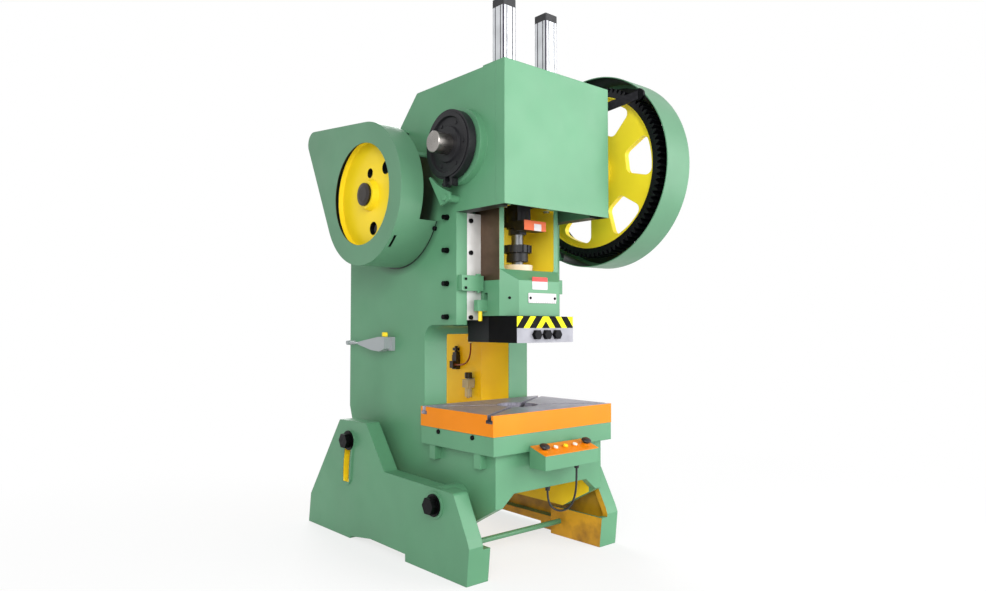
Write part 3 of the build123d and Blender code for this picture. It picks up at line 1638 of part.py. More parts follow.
lip_x = -guard_face + guard_back
with BuildPart() as flywheel_guard:
    with BuildSketch(Plane.YZ.offset(-guard_face)):
        add(guard_outline(0))
    extrude(amount=guard_face - frame_half)
    with BuildSketch(Plane.YZ.offset(-guard_face + guard_sheet)):
        add(guard_outline(-guard_sheet))
    extrude(amount=guard_face, mode=Mode.SUBTRACT)
    add(block(lip_x, 0, -far_cut, far_cut, guard_low_z, far_cut), mode=Mode.SUBTRACT)
    with BuildSketch(Plane.YZ.offset(-guard_face - 1)):
        with Locations((drive_y, drive_z)):
            Circle(guard_opening)
    extrude(amount=2 * guard_sheet, mode=Mode.SUBTRACT)
    with BuildSketch(Plane.YZ.offset(lip_x - guard_sheet)):
        add(guard_outline(-guard_sheet))
        add(guard_outline(-guard_lip), mode=Mode.SUBTRACT)
        with Locations((drive_y, guard_low_z - far_cut / 2)):
            Rectangle(2 * far_cut, far_cut, mode=Mode.SUBTRACT)
    extrude(amount=guard_sheet)
    for turn in guard_post_turns:
        y = drive_y + (guard_radius - guard_post_inset) * cos(radians(turn))
        z = drive_z + (guard_radius - guard_post_inset) * sin(radians(turn))
        add(rod_along_x(lip_x, -frame_half, y, z, guard_post))
    slot_turn = radians(guard_slot_turn)
    with BuildSketch(Plane(origin=(-guard_face + guard_slot_inset, drive_y, drive_z),
                           x_dir=(0, cos(slot_turn), sin(slot_turn)), z_dir=(1, 0, 0))):
        with Locations((guard_radius, 0)):
            Rectangle(8 * guard_sheet, guard_slot_length)
    extrude(amount=guard_slot_width, mode=Mode.SUBTRACT)
save(flywheel_guard, "flywheel_guard")


def hoop_outline(grow):
    """Outline of the gear guard: round the gear, bulging round the pinion."""
    return band_outline((0, crank_z), hoop_radius, guard_first, hoop_end_radius, grow)


hoop_right = hoop_left + hoop_width
with BuildPart() as gear_guard:
    with BuildSketch(Plane.YZ.offset(hoop_left)):
        add(hoop_outline(0))
        add(hoop_outline(-guard_sheet), mode=Mode.SUBTRACT)
    extrude(amount=hoop_width)
    with BuildSketch(Plane.YZ.offset(hoop_right - guard_sheet)):
        add(hoop_outline(-guard_sheet))
        add(hoop_outline(-hoop_lip), mode=Mode.SUBTRACT)
    extrude(amount=guard_sheet)
    for middle, ring, turn in (
        ((0, crank_z), hoop_radius - hoop_post, hoop_post_turn),
        (guard_first, hoop_end_radius - hoop_post, hoop_end_post_turn),
    ):
        y = middle[0] + ring * cos(radians(turn))
        z = middle[1] + ring * sin(radians(turn))
        add(rod_along_x(frame_half, hoop_left + hoop_foot, y, z, hoop_post))
        add(rod_along_x(hoop_left, hoop_left + hoop_foot, y, z, hoop_foot))
save(gear_guard, "gear_guard")

strap_ring = (hoop_radius - strap_width / 2) * sin(radians(45))
strap_foot = Vector(frame_half + strap_thickness, strap_foot_place[0], crank_z + strap_foot_place[1])
strap_head = Vector(hoop_left - strap_boss_height / 2, -strap_ring, crank_z + strap_ring)
with BuildPart() as gear_guard_strap:
    with BuildSketch(Plane(origin=strap_foot, x_dir=(0, 0, 1), z_dir=strap_head - strap_foot)):
        Rectangle(strap_width, strap_thickness)
    extrude(amount=(strap_head - strap_foot).length)
    add(rod_along_x(frame_half, frame_half + strap_boss_height, strap_foot.Y, strap_foot.Z, strap_boss))
    add(rod_along_x(hoop_left - strap_boss_height, hoop_left, strap_head.Y, strap_head.Z, strap_boss))
save(gear_guard_strap, "gear_guard_strap")


# Control box on the apron
slope_length = panel_run / cos(radians(panel_angle))
box_back = -table_reach
panel_plane = Plane(origin=(0, box_front, box_lip), x_dir=(1, 0, 0),
                    z_dir=(0, -sin(radians(panel_angle)), cos(radians(panel_angle))))


def on_panel(rise):
    """Plane parallel to the panel, with its origin in the middle of the slope."""
    return panel_plane.offset(rise).shift_origin(
        panel_plane.offset(rise).from_local_coords((0, slope_length / 2, 0)))


with BuildPart() as control_box:
    outline = ((box_back, box_bottom), (box_front, box_bottom), (box_front, box_lip),
               (box_front + panel_run, box_back_top), (box_back, box_back_top))
    add(side_profile(outline, -box_half, box_half))
    hollow = ((box_back - box_sheet, box_bottom + box_sheet),
              (box_front + box_sheet, box_bottom + box_sheet),
              (box_front + box_sheet, box_back_top + box_sheet),
              (box_back - box_sheet, box_back_top + box_sheet))
    add(side_profile(hollow, -box_half + box_sheet, box_half - box_sheet), mode=Mode.SUBTRACT)
    add(block(-box_mount, box_mount, box_back, apron_front, box_bottom + 10, box_bottom + 55))
save(control_box, "control_box")

with BuildPart() as control_panel:
    with BuildSketch(on_panel(0)):
        Rectangle(2 * box_half, slope_length)
    extrude(amount=panel_sheet)
    with BuildSketch(on_panel(panel_sheet)):
        with Locations((-palm_x, 0), (palm_x, 0)):
            Circle(palm_radius - 4)
        with Locations([(x, 0) for x in button_places]):
            Circle(button_radius + 4)
    extrude(amount=panel_ring)
    with BuildSketch(on_panel(-1)):
        with Locations((-palm_x, 0), (palm_x, 0)):
            Circle(palm_stem + sliding_gap)
        with Locations([(x, 0) for x in button_places]):
            Circle(button_radius + sliding_gap)
    extrude(amount=panel_sheet + panel_ring + 2, mode=Mode.SUBTRACT)
save(control_panel, "control_panel")


def panel_button(x, points):
    """Push button turned about the normal of the panel, at x along it."""
    with BuildPart() as button:
        origin = on_panel(0).from_local_coords((x, 0, 0))
        profile = Plane(origin=origin, x_dir=(1, 0, 0), z_dir=-panel_plane.y_dir)
        with BuildSketch(profile):
            with BuildLine():
                Polyline(*points, close=True)
            make_face()
        revolve(axis=Axis(origin, panel_plane.z_dir))
    return button.part


panel_rise = panel_sheet + panel_ring
palm_rest = panel_rise + palm_travel + clear_gap
for name, side in (("left", -1), ("right", 1)):
    with BuildPart() as palm_button:
        add(panel_button(side * palm_x, (
            (0, -12), (palm_stem + 3, -12), (palm_stem + 3, -sliding_gap),
            (palm_stem, -sliding_gap), (palm_stem, palm_rest), (palm_radius - 3, palm_rest),
            (palm_radius, palm_rest + 3), (palm_radius - 2, palm_rest + 8),
            (palm_radius - 9, palm_rest + 12), (0, palm_rest + 13))))
    save(palm_button, "palm_button_" + name)

cap_rest = panel_rise + button_travel + 1
for name, x in zip(("left", "middle", "right"), button_places):
    with BuildPart() as small_button:
        add(panel_button(x, (
            (0, -8), (button_radius + 3, -8), (button_radius + 3, -sliding_gap),
            (button_radius, -sliding_gap), (button_radius, cap_rest - 1),
            (button_radius - 1, cap_rest), (0, cap_rest))))
    save(small_button, "small_button_" + name)

# Cable from the control box into the apron, with its glands
arch_z = apron_bottom + apron_arch
cable_route = (
    (62.0, -262.0, box_bottom - gland_length),
    (62.0, -262.0, 321.2),
    (59.1, -258.2, 266.4),
    (48.8, -244.5, 219.4),
    (27.8, -216.5, 199.4),
    (6.2, -187.9, 209.0),
    (-5.0, -173.0, 241.0),
    (-5.0, -173.0, arch_z - gland_length),
)


def bend_radii(route):
    """Largest tangent arc at each corner of a cord's route."""
    points = [Vector(*point) for point in route]
    radii = []
    for before, here, after in zip(points, points[1:], points[2:]):
        turn = (here - before).get_angle(after - here)
        run = min((here - before).length, (after - here).length)
        radii.append(0.45 * run / tan(radians(turn / 2)))
    return radii


def cord_tube(route, radius):
    """Round tube along a route, with an arc at each corner."""
    radii = bend_radii(route)
    with BuildPart() as cord:
        with BuildLine() as path:
            FilletPolyline(*route, radius=radii)
        with BuildSketch(path.line ^ 0):
            Circle(radius)
        sweep()
    print("bend radii", [round(value, 1) for value in radii])
    length = path.wires()[0].length
    print("length", round(length, 1), "volume share",
          round(cord.part.volume / (pi * radius ** 2 * length), 4))
    return cord.part


with BuildPart() as control_cable:
    add(cord_tube(cable_route, cable_radius))
save(control_cable, "control_cable")


def gland(x, y, top):
    """Cable gland with its hexagon, hanging from a face at the height top."""
    with BuildPart() as body:
        with BuildSketch(Plane.XY.offset(top - gland_length)):
            with Locations((x, y)):
                Circle(gland_radius - 2)
        extrude(amount=gland_length)
        with BuildSketch(Plane.XY.offset(top - gland_length / 2)):
            with Locations((x, y)):
                RegularPolygon(gland_radius, 6)
        extrude(amount=gland_length / 2)
    return body.part


with BuildPart() as cable_glands:
    add(gland(cable_route[0][0], cable_route[0][1], box_bottom))
    add(gland(cable_route[-1][0], cable_route[-1][1], arch_z))
save(cable_glands, "cable_glands")

# Hand valve on the left wall
valve_axis = -frame_half - hand_valve_x
pipe_z = hand_valve_z - hand_pipe_drop
with BuildPart() as valve_body:
    add(block(-frame_half - hand_foot_depth, -frame_half, hand_valve_y - hand_foot_front,
              hand_valve_y + hand_foot_back, hand_valve_z - hand_foot_height, hand_valve_z))
    outline = [(hand_valve_y + y, hand_valve_z + z) for y, z in hand_body_outline]
    add(side_profile(outline, valve_axis - hand_body_half, -frame_half - hand_body_gap, hand_body_round))
    with BuildSketch(Plane.XZ.offset(-hand_valve_y - hand_pipe_reach)):
        with Locations((valve_axis, pipe_z)):
            Circle(hand_pipe_radius)
    extrude(amount=hand_pipe_length)
    add(rod_along_x(valve_axis - hand_union_reach, -frame_half, hand_valve_y + hand_pipe_reach, pipe_z,
                    hand_union_radius))
    with BuildSketch(Plane.XY.offset(hand_valve_z - knob_bore_depth)):
        with Locations((valve_axis, hand_valve_y)):
            Circle(knob_stem + running_gap)
    extrude(amount=knob_bore_depth + 4, mode=Mode.SUBTRACT)
save(valve_body, "valve_body")

stem_length = knob_bore_depth - knob_end_gap
with BuildPart() as valve_knob:
    with BuildSketch(Plane.XY.offset(hand_valve_z - stem_length)):
        with Locations((valve_axis, hand_valve_y)):
            Circle(knob_stem)
    extrude(amount=stem_length + knob_lift + 1)
    with BuildSketch(Plane.XY.offset(hand_valve_z + knob_lift)):
        with Locations((valve_axis, hand_valve_y)):
            Circle(knob_radius)
            SlotOverall(knob_grip_length, knob_grip_width, rotation=90)
    extrude(amount=knob_height)
    fillet(valve_knob.edges().group_by(Axis.Z)[-1], knob_round)
save(valve_knob, "valve_knob")

# Air fittings on the right wall of the throat
throat_wall = frame_half - side_wall
fitting_x = throat_wall - fitting_depth
with BuildPart() as air_regulator:
    add(block(throat_wall - regulator_foot_depth, throat_wall, regulator_y - regulator_foot_half,
              regulator_y + regulator_foot_half, regulator_z + regulator_foot_bottom,
              regulator_z + regulator_foot_top))
    add(block(throat_wall - regulator_body_far, throat_wall - regulator_body_near,
              regulator_y - regulator_body_half, regulator_y + regulator_body_half,
              regulator_z + regulator_body_bottom, regulator_z + regulator_body_top))
    for rise, radius, height in regulator_stack:
        with BuildSketch(Plane.XY.offset(regulator_z + rise)):
            with Locations((fitting_x, regulator_y)):
                Circle(radius)
        extrude(amount=height)
    fillet(air_regulator.edges().group_by(Axis.Z)[-1], knob_round)
save(air_regulator, "air_regulator")

with BuildPart() as solenoid_valve:
    add(block(throat_wall - solenoid_depth, throat_wall, solenoid_y - solenoid_half,
              solenoid_y + solenoid_half, solenoid_z, solenoid_z + solenoid_height))
    add(block(throat_wall - solenoid_port_far, throat_wall - solenoid_port_near,
              solenoid_y - solenoid_port_half, solenoid_y + solenoid_port_half,
              solenoid_z + solenoid_port_bottom, solenoid_z + solenoid_port_top))
    for rise in solenoid_ring_rises:
        add(block(throat_wall - solenoid_ring_far, throat_wall - solenoid_ring_near,
                  solenoid_y - solenoid_ring_half, solenoid_y + solenoid_ring_half,
                  solenoid_z + rise, solenoid_z + rise + solenoid_ring_height))
    with BuildSketch(Plane.XY.offset(solenoid_z + solenoid_height)):
        with Locations((throat_wall - solenoid_depth / 2, solenoid_y)):
            Circle(solenoid_stem_radius)
    extrude(amount=solenoid_stem_height)
    fillet(solenoid_valve.edges().group_by(Axis.Z)[-1], solenoid_round)
save(solenoid_valve, "solenoid_valve")

with BuildPart() as tube_elbow:
    add(rod_along_x(throat_wall - elbow_reach, throat_wall, elbow_y, elbow_z, elbow_body_radius))
    with BuildSketch(Plane.XY.offset(elbow_z - elbow_port_length)):
        with Locations((fitting_x, elbow_y)):
            Circle(elbow_port_radius)
    extrude(amount=elbow_port_length)
save(tube_elbow, "tube_elbow")

port_y = solenoid_y - solenoid_port_half
port_z = solenoid_z + (solenoid_port_bottom + solenoid_port_top) / 2
tube_route = (
    (fitting_x, elbow_y, elbow_z - elbow_port_length),
    (fitting_x, elbow_y, 786.0),
    (fitting_x - 1, 577.0, 748.0),
    (fitting_x - 2, 604.0, 720.0),
    (fitting_x - 4, 646.0, port_z),
    (fitting_x - 4, port_y, port_z),
)
with BuildPart() as air_tube:
    add(cord_tube(tube_route, tube_radius))
save(air_tube, "air_tube")
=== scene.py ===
"""Finishes, cords, plates, floor, light and camera for the mechanical stamping press. Metres, in the part's frame."""
import math

import bmesh
import bpy
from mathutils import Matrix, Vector


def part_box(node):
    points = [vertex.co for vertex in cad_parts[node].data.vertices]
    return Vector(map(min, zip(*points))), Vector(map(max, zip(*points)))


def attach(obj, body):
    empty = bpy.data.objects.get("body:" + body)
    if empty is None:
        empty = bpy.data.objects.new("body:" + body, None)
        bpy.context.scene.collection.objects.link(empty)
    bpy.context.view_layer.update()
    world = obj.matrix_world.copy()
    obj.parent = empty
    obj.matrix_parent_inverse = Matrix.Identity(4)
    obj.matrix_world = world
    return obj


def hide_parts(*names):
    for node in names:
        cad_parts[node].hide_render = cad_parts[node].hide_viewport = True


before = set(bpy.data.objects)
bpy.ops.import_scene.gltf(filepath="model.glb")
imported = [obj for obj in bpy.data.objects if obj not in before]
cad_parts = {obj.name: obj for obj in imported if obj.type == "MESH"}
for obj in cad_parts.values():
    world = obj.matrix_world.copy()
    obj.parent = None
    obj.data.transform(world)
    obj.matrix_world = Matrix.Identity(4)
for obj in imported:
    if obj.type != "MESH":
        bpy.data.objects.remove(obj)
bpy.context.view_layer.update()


# Colours, as they look in the photograph under plain light
def srgb(red, green, blue):
    """Linear colour of an 8-bit screen colour."""
    linear = []
    for value in (red, green, blue):
        share = value / 255
        linear.append(share / 12.92 if share <= 0.04045 else ((share + 0.055) / 1.055) ** 2.4)
    return (*linear, 1.0)


GREEN = srgb(91, 146, 110)
GUARD_GREEN = srgb(92, 140, 108)
# Painted shade: beside, behind and inside the guards, under and inside the head, behind the head cover and on the
# gear side of the edge ring; also the dark rim of the legs' slots
GUARD_DARK = srgb(24, 34, 29)
# Painted shade with grease inside the gear guard
SHADE_AND_GREASE_DARK = srgb(44, 56, 52)
TABLE_DARK = srgb(118, 114, 126)
TABLE_PALE = srgb(166, 164, 176)
CLAMP_GREY = srgb(160, 160, 168)
GIB_STEEL = srgb(214, 214, 212)
# Painted shade at the corners and in the grooves of the cylinder tubes
GROOVE_DARK = srgb(58, 54, 66)
TICK_GREY = srgb(90, 90, 96)
CRANK_STEEL = srgb(150, 146, 142)
SCREW_STEEL = srgb(112, 114, 116)
COVER_CREAM = srgb(204, 192, 172)
REGULATOR_GREY = srgb(176, 178, 182)
YELLOW = srgb(250, 218, 30)
GEAR_YELLOW = srgb(255, 228, 48)
INNER_YELLOW = srgb(252, 218, 34)
# Painted light: a lighter copy of the yellow for the slide's window, which lies in the head's shade
WINDOW_YELLOW = srgb(255, 224, 58)
LEG_YELLOW = srgb(214, 160, 36)
GRIME = srgb(120, 78, 30)
ORANGE = srgb(230, 132, 6)
STEEL = srgb(178, 178, 176)
OILED_STEEL = srgb(66, 62, 60)
BLACK_IRON = srgb(21, 21, 25)
BOLT_BLACK = srgb(26, 26, 28)
CLAMP_BLACK = srgb(12, 11, 13)
BRONZE = srgb(176, 132, 74)
BROWN_OIL = srgb(92, 72, 56)
ALUMINIUM = srgb(206, 208, 212)
PLASTIC_BLACK = srgb(22, 22, 26)
PLASTIC_WHITE = srgb(232, 230, 224)
MOTOR_GREY = srgb(116, 124, 126)
VALVE_GREY = srgb(158, 164, 166)
PLATE_WHITE = srgb(206, 202, 204)
SIGN_RED = srgb(206, 56, 48)
HAZARD_YELLOW = srgb(232, 230, 40)
CABLE_BLACK = srgb(24, 24, 28)
TUBE_BROWN = srgb(128, 62, 24)
LOCK_ORANGE = srgb(212, 94, 42)


class Finish:
    """Node tree of one material, with the few building blocks that the finishes share."""

    def __init__(self, name, metallic=0.0, roughness=0.5, coat=0.0, specular=0.5):
        self.material = bpy.data.materials.new(name)
        self.material.use_nodes = True
        self.tree = self.material.node_tree
        self.tree.nodes.clear()
        self.shader = self.tree.nodes.new("ShaderNodeBsdfPrincipled")
        output = self.tree.nodes.new("ShaderNodeOutputMaterial")
        self.link(self.shader.outputs["BSDF"], output.inputs["Surface"])
        self.shader.inputs["Metallic"].default_value = metallic
        self.shader.inputs["Roughness"].default_value = roughness
        self.shader.inputs["Coat Weight"].default_value = coat
        self.shader.inputs["Coat Roughness"].default_value = 0.25
        self.shader.inputs["Specular IOR Level"].default_value = specular
        self.place = self.tree.nodes.new("ShaderNodeTexCoord")
        self.axes = None

    def link(self, source, target):
        self.tree.links.new(source, target)

    def coordinate(self, letter):
        """The X, Y or Z of the point, in metres."""
        if self.axes is None:
            self.axes = self.tree.nodes.new("ShaderNodeSeparateXYZ")
            self.link(self.place.outputs["Object"], self.axes.inputs[0])
        return self.axes.outputs[letter]

    def facing(self, letter):
        """The X, Y or Z of the surface's own normal."""
        split = self.tree.nodes.new("ShaderNodeSeparateXYZ")
        self.link(self.place.outputs["Normal"], split.inputs[0])
        return split.outputs[letter]

    def math(self, operation, *values):
        node = self.tree.nodes.new("ShaderNodeMath")
        node.operation = operation
        for socket, value in zip(node.inputs, values):
            if isinstance(value, (int, float)):
                socket.default_value = value
            else:
                self.link(value, socket)
        return node.outputs[0]

    def between(self, value, low, high):
        """1 where the value lies between low and high."""
        return self.math("MULTIPLY", self.math("GREATER_THAN", value, low),
                         self.math("LESS_THAN", value, high))

    def all_of(self, *masks):
        result = masks[0]
        for mask in masks[1:]:
            result = self.math("MULTIPLY", result, mask)
        return result

    def any_of(self, *masks):
        result = masks[0]
        for mask in masks[1:]:
            result = self.math("MAXIMUM", result, mask)
        return result

    def radius(self, y, z):
        """Distance from a line along X through y, z."""
        across = self.math("SUBTRACT", self.coordinate("Y"), y)
        up = self.math("SUBTRACT", self.coordinate("Z"), z)
        squares = self.math("ADD", self.math("MULTIPLY", across, across), self.math("MULTIPLY", up, up))
        return self.math("SQRT", squares)

    def noise(self, scale, detail=3.0, stretch=(1, 1, 1)):
        mapping = self.tree.nodes.new("ShaderNodeMapping")
        mapping.inputs["Scale"].default_value = stretch
        self.link(self.place.outputs["Object"], mapping.inputs["Vector"])
        node = self.tree.nodes.new("ShaderNodeTexNoise")
        node.inputs["Scale"].default_value = scale
        node.inputs["Detail"].default_value = detail
        self.link(mapping.outputs["Vector"], node.inputs["Vector"])
        return node.outputs["Fac"]

    def spread(self, value, low, high, start=0.3, end=0.7):
        """The value from start to end, stretched to low to high."""
        node = self.tree.nodes.new("ShaderNodeMapRange")
        node.inputs["From Min"].default_value = start
        node.inputs["From Max"].default_value = end
        node.inputs["To Min"].default_value = low
        node.inputs["To Max"].default_value = high
        self.link(value, node.inputs["Value"])
        return node.outputs["Result"]

    def blend(self, mask, first, second):
        """Colour first, or second where the mask is 1."""
        node = self.tree.nodes.new("ShaderNodeMix")
        node.data_type = "RGBA"
        self.link(mask, node.inputs["Factor"])
        for socket, colour in ((node.inputs["A"], first), (node.inputs["B"], second)):
            if isinstance(colour, tuple):
                socket.default_value = colour
            else:
                self.link(colour, socket)
        return node.outputs["Result"]

    def mottled(self, colour, scale=3.0, amount=0.08):
        """The colour with slow light and dark patches."""
        dark = tuple(channel * (1 - amount) for channel in colour[:3]) + (1.0,)
        light = tuple(min(channel * (1 + amount), 1.0) for channel in colour[:3]) + (1.0,)
        return self.blend(self.spread(self.noise(scale), 0.0, 1.0), dark, light)

    def colour(self, socket):
        self.link(socket, self.shader.inputs["Base Color"])

    def roughness(self, low, high, scale=8.0, stretch=(1, 1, 1)):
        self.link(self.spread(self.noise(scale, stretch=stretch), low, high), self.shader.inputs["Roughness"])

    def metallic(self, mask):
        self.link(mask, self.shader.inputs["Metallic"])

    def relief(self, height, strength=0.15, distance=0.0005, edge=0.0):
        """Bump from a height, over edges that are rounded by edge metres."""
        bump = self.tree.nodes.new("ShaderNodeBump")
        bump.inputs["Strength"].default_value = strength
        bump.inputs["Distance"].default_value = distance
        self.link(height, bump.inputs["Height"])
        if edge:
            bevel = self.tree.nodes.new("ShaderNodeBevel")
            bevel.samples = 4
            bevel.inputs["Radius"].default_value = edge
            self.link(bevel.outputs["Normal"], bump.inputs["Normal"])
        self.link(bump.outputs["Normal"], self.shader.inputs["Normal"])


def paint(name, colour, edge=0.0025, roughness=(0.34, 0.48), peel=0.10, coat=0.1, specular=0.3):
    """Sprayed enamel on iron: slow patches, orange peel and soft edges."""
    finish = Finish(name, coat=coat, specular=specular)
    finish.colour(finish.mottled(colour))
    finish.roughness(*roughness)
    finish.relief(finish.noise(260, 2.0), peel, 0.0006, edge)
    return finish


def machined(name, colour, roughness=(0.24, 0.42), stretch=(1, 1, 1), scale=90.0, edge=0.0012):
    """Turned or ground metal with fine tool marks."""
    finish = Finish(name, metallic=1.0)
    finish.colour(finish.mottled(colour, 14.0, 0.12))
    finish.roughness(*roughness, scale=scale, stretch=stretch)
    finish.relief(finish.noise(scale * 3, 2.0, stretch), 0.12, 0.0004, edge)
    return finish


def moulded(name, colour, roughness=(0.38, 0.55), edge=0.001):
    """Moulded plastic or rubber with a fine grain."""
    finish = Finish(name)
    finish.colour(finish.mottled(colour, 20.0, 0.10))
    finish.roughness(*roughness, scale=40.0)
    finish.relief(finish.noise(900, 2.0), 0.10, 0.0003, edge)
    return finish


def dress(finish, *nodes):
    """Gives the material to CAD nodes."""
    for node in nodes:
        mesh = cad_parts[node].data
        mesh.materials.clear()
        mesh.materials.append(finish.material)


# Places on the press, in metres
FRAME_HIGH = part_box("frame_casting")[1]
TABLE_OVERHANG = 0.033
WALL = 0.0335
OUTER_X = FRAME_HIGH.x - TABLE_OVERHANG
INNER_X = OUTER_X - WALL
COLUMN_Y = 0.2425
COVER_Y = -0.110
ARCH_Y = -0.1555
ARCH_Z = 0.4735
HEAD_Z = 1.344
HEAD_TOP = 1.86
CRANK_Z = 1.587
DRIVE_Y = 0.433
DRIVE_Z = 1.444
PIVOT_Y = 0.015
PIVOT_Z = 0.25
THROAT_SLOPE = 2.13
SHADE_LOW = 1.322
SHADE_HIGH = 1.600
GUARD_RADIUS = 0.299
# Radii of the painted contact shadow that fades out around the flywheel guard
CONTACT_SHADOW_RADII = (0.298, 0.330)
SHADE_RADII = (0.240, 0.290)
GEAR_RIM = 0.336
FLYWHEEL_RIM = 0.227
SLOT_RADII = (0.6095, 0.6545)
SLOT_ARC = (math.radians(-1.2), math.radians(17.4))
RIM_RADII = (0.6065, 0.6575)
RIM_ARC = (math.radians(-1.35), math.radians(17.6))
HEAD_SHEET = 0.0015
OILED_SKIN = 0.0012
OILED_Z = 1.082
WINDOW_Y = -0.0712
WINDOW_Z = 1.1245
WINDOW_WALL = 0.0245
BLOCK_Y = -0.1036
BLOCK_PLATE = (-0.006, 0.034)
BLOCK_PLATE_Z = 1.3085
STRIPE_PITCH = 0.067
STRIPE_CLIMB = 0.8
STRIPE_YELLOW = 0.45
STRIPE_LOW = 0.056
CLAMP_SKIN = 0.0008
TUBE_CORNER = 0.005
PIN_TOP = 0.9622
BOWL_TOP = 0.6515
SKIN = 0.0006
FLYWHEEL_HOLES = [(DRIVE_Y + ring * math.cos(math.radians(turn)), DRIVE_Z + ring * math.sin(math.radians(turn)),
                   radius + 0.0005)
                  for turn, ring, radius in ((140, 0.152, 0.027), (260, 0.142, 0.027), (88, 0.092, 0.020))]


def casting_finish():
    """Green, yellow in the throat, the rear recesses and under the bed; painted shade beside and behind the flywheel
    guard with a painted contact shadow fading out around it, painted shadow under the head and painted shade behind
    the head cover.
    """
    finish = paint("casting_paint", GREEN, 0.004)
    inside = finish.between(finish.coordinate("X"), -INNER_X, INNER_X)
    depth = finish.coordinate("Y")
    height = finish.coordinate("Z")
    under_slope = finish.math("LESS_THAN", finish.math("ADD", depth, height), THROAT_SLOPE)
    throat = finish.all_of(finish.math("GREATER_THAN", depth, COLUMN_Y + 0.001), under_slope,
                           finish.math("LESS_THAN", height, HEAD_TOP))
    under_bed = finish.all_of(finish.math("GREATER_THAN", depth, ARCH_Y),
                              finish.math("LESS_THAN", height, ARCH_Z))
    yellow = finish.all_of(inside, finish.any_of(throat, under_bed))
    colour = finish.blend(yellow, finish.mottled(GREEN), finish.mottled(INNER_YELLOW, 5.0, 0.10))
    distance = finish.radius(DRIVE_Y, DRIVE_Z)
    left_wall = finish.math("LESS_THAN", finish.coordinate("X"), 0.001 - OUTER_X)
    # Painted contact shadow: the wall darkens in a ring just outside the flywheel guard
    painted_shade = finish.spread(distance, 0.55, 0.0, *CONTACT_SHADOW_RADII)
    # Painted shade on the wall behind the guard's edge, below its flange
    below = finish.all_of(finish.math("LESS_THAN", height, SHADE_LOW),
                          finish.any_of(painted_shade, finish.math("LESS_THAN", distance, GUARD_RADIUS)))
    # Painted shade on the wall in the dark gap beside the guard, above its flange
    beside = finish.all_of(finish.between(height, SHADE_LOW, SHADE_HIGH),
                           finish.spread(distance, 0.95, 0.0, *SHADE_RADII))
    guard_shade = finish.all_of(left_wall, finish.any_of(below, beside))
    # Painted shadow: faces looking down at the bottom of the head are dark
    shade_under_head = finish.all_of(finish.math("LESS_THAN", finish.facing("Z"), -0.9),
                               finish.between(height, HEAD_Z - 0.009, HEAD_Z + 0.008))
    # Painted shade: the head's front faces that sit behind the head cover are dark
    shade_behind_cover = finish.all_of(finish.between(finish.coordinate("X"), 0.001 - OUTER_X, OUTER_X - 0.001),
                                 finish.math("LESS_THAN", finish.facing("Y"), -0.5),
                                 finish.math("LESS_THAN", depth, COVER_Y),
                                 finish.math("GREATER_THAN", height, HEAD_Z - 0.001))
    finish.colour(finish.blend(finish.any_of(guard_shade, shade_under_head, shade_behind_cover), colour, GUARD_DARK))
    return finish


def head_finish():
    """Green outside, with painted shade within the sheet."""
    finish = paint("head_paint", GREEN, 0.003)
    low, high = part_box("head_cover")
    # Painted shade on the cover's inner faces and underside
    within = finish.all_of(
        finish.between(finish.coordinate("X"), low.x + HEAD_SHEET, high.x - HEAD_SHEET),
        finish.math("GREATER_THAN", finish.coordinate("Y"), low.y + HEAD_SHEET),
        finish.math("LESS_THAN", finish.coordinate("Z"), high.z - HEAD_SHEET))
    finish.colour(finish.blend(within, finish.mottled(GREEN), finish.mottled(GUARD_DARK, 9.0, 0.2)))
    return finish


def leg_finish(name, side):
    """Green outside, grimy yellow on the inner side, and bright yellow in the lock bolt's dark-rimmed slot."""
    finish = paint(name, GREEN, 0.004)
    inner = finish.math("GREATER_THAN", finish.math("MULTIPLY", finish.facing("X"), -side), 0.5)
    across = finish.math("SUBTRACT", finish.coordinate("Y"), PIVOT_Y)
    up = finish.math("SUBTRACT", finish.coordinate("Z"), PIVOT_Z)
    angle = finish.math("ARCTAN2", up, across)
    distance = finish.radius(PIVOT_Y, PIVOT_Z)
    slot = finish.all_of(finish.between(distance, *SLOT_RADII), finish.between(angle, *SLOT_ARC))
    rim = finish.all_of(finish.between(distance, *RIM_RADII), finish.between(angle, *RIM_ARC))
    yellow = finish.any_of(inner, slot)
    outside = finish.blend(rim, finish.mottled(GREEN), finish.mottled(GUARD_DARK, 9.0, 0.2))
    grime = finish.spread(finish.noise(9.0, 4.0), 0.0, 0.8, 0.48, 0.72)
    inside = finish.blend(grime, finish.mottled(LEG_YELLOW, 5.0, 0.10), GRIME)
    lining = finish.blend(slot, inside, finish.mottled(INNER_YELLOW, 5.0, 0.10))
    finish.colour(finish.blend(yellow, outside, lining))
    return finish


def bolster_finish():
    """Ground steel on top and in the slots, orange on the outer sides."""
    finish = paint("bolster_paint", ORANGE, 0.002, coat=0.0, specular=0.2)
    low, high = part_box("bolster_plate")
    inside = finish.all_of(
        finish.between(finish.coordinate("X"), low.x + SKIN, high.x - SKIN),
        finish.between(finish.coordinate("Y"), low.y + SKIN, high.y - SKIN),
        finish.math("GREATER_THAN", finish.coordinate("Z"), low.z + SKIN))
    grind = finish.blend(finish.spread(finish.noise(30, 4.0, (1, 14, 1)), 0.0, 1.0), TABLE_DARK, TABLE_PALE)
    finish.colour(finish.blend(inside, finish.mottled(ORANGE), grind))
    finish.metallic(finish.math("MULTIPLY", inside, 0.35))
    return finish


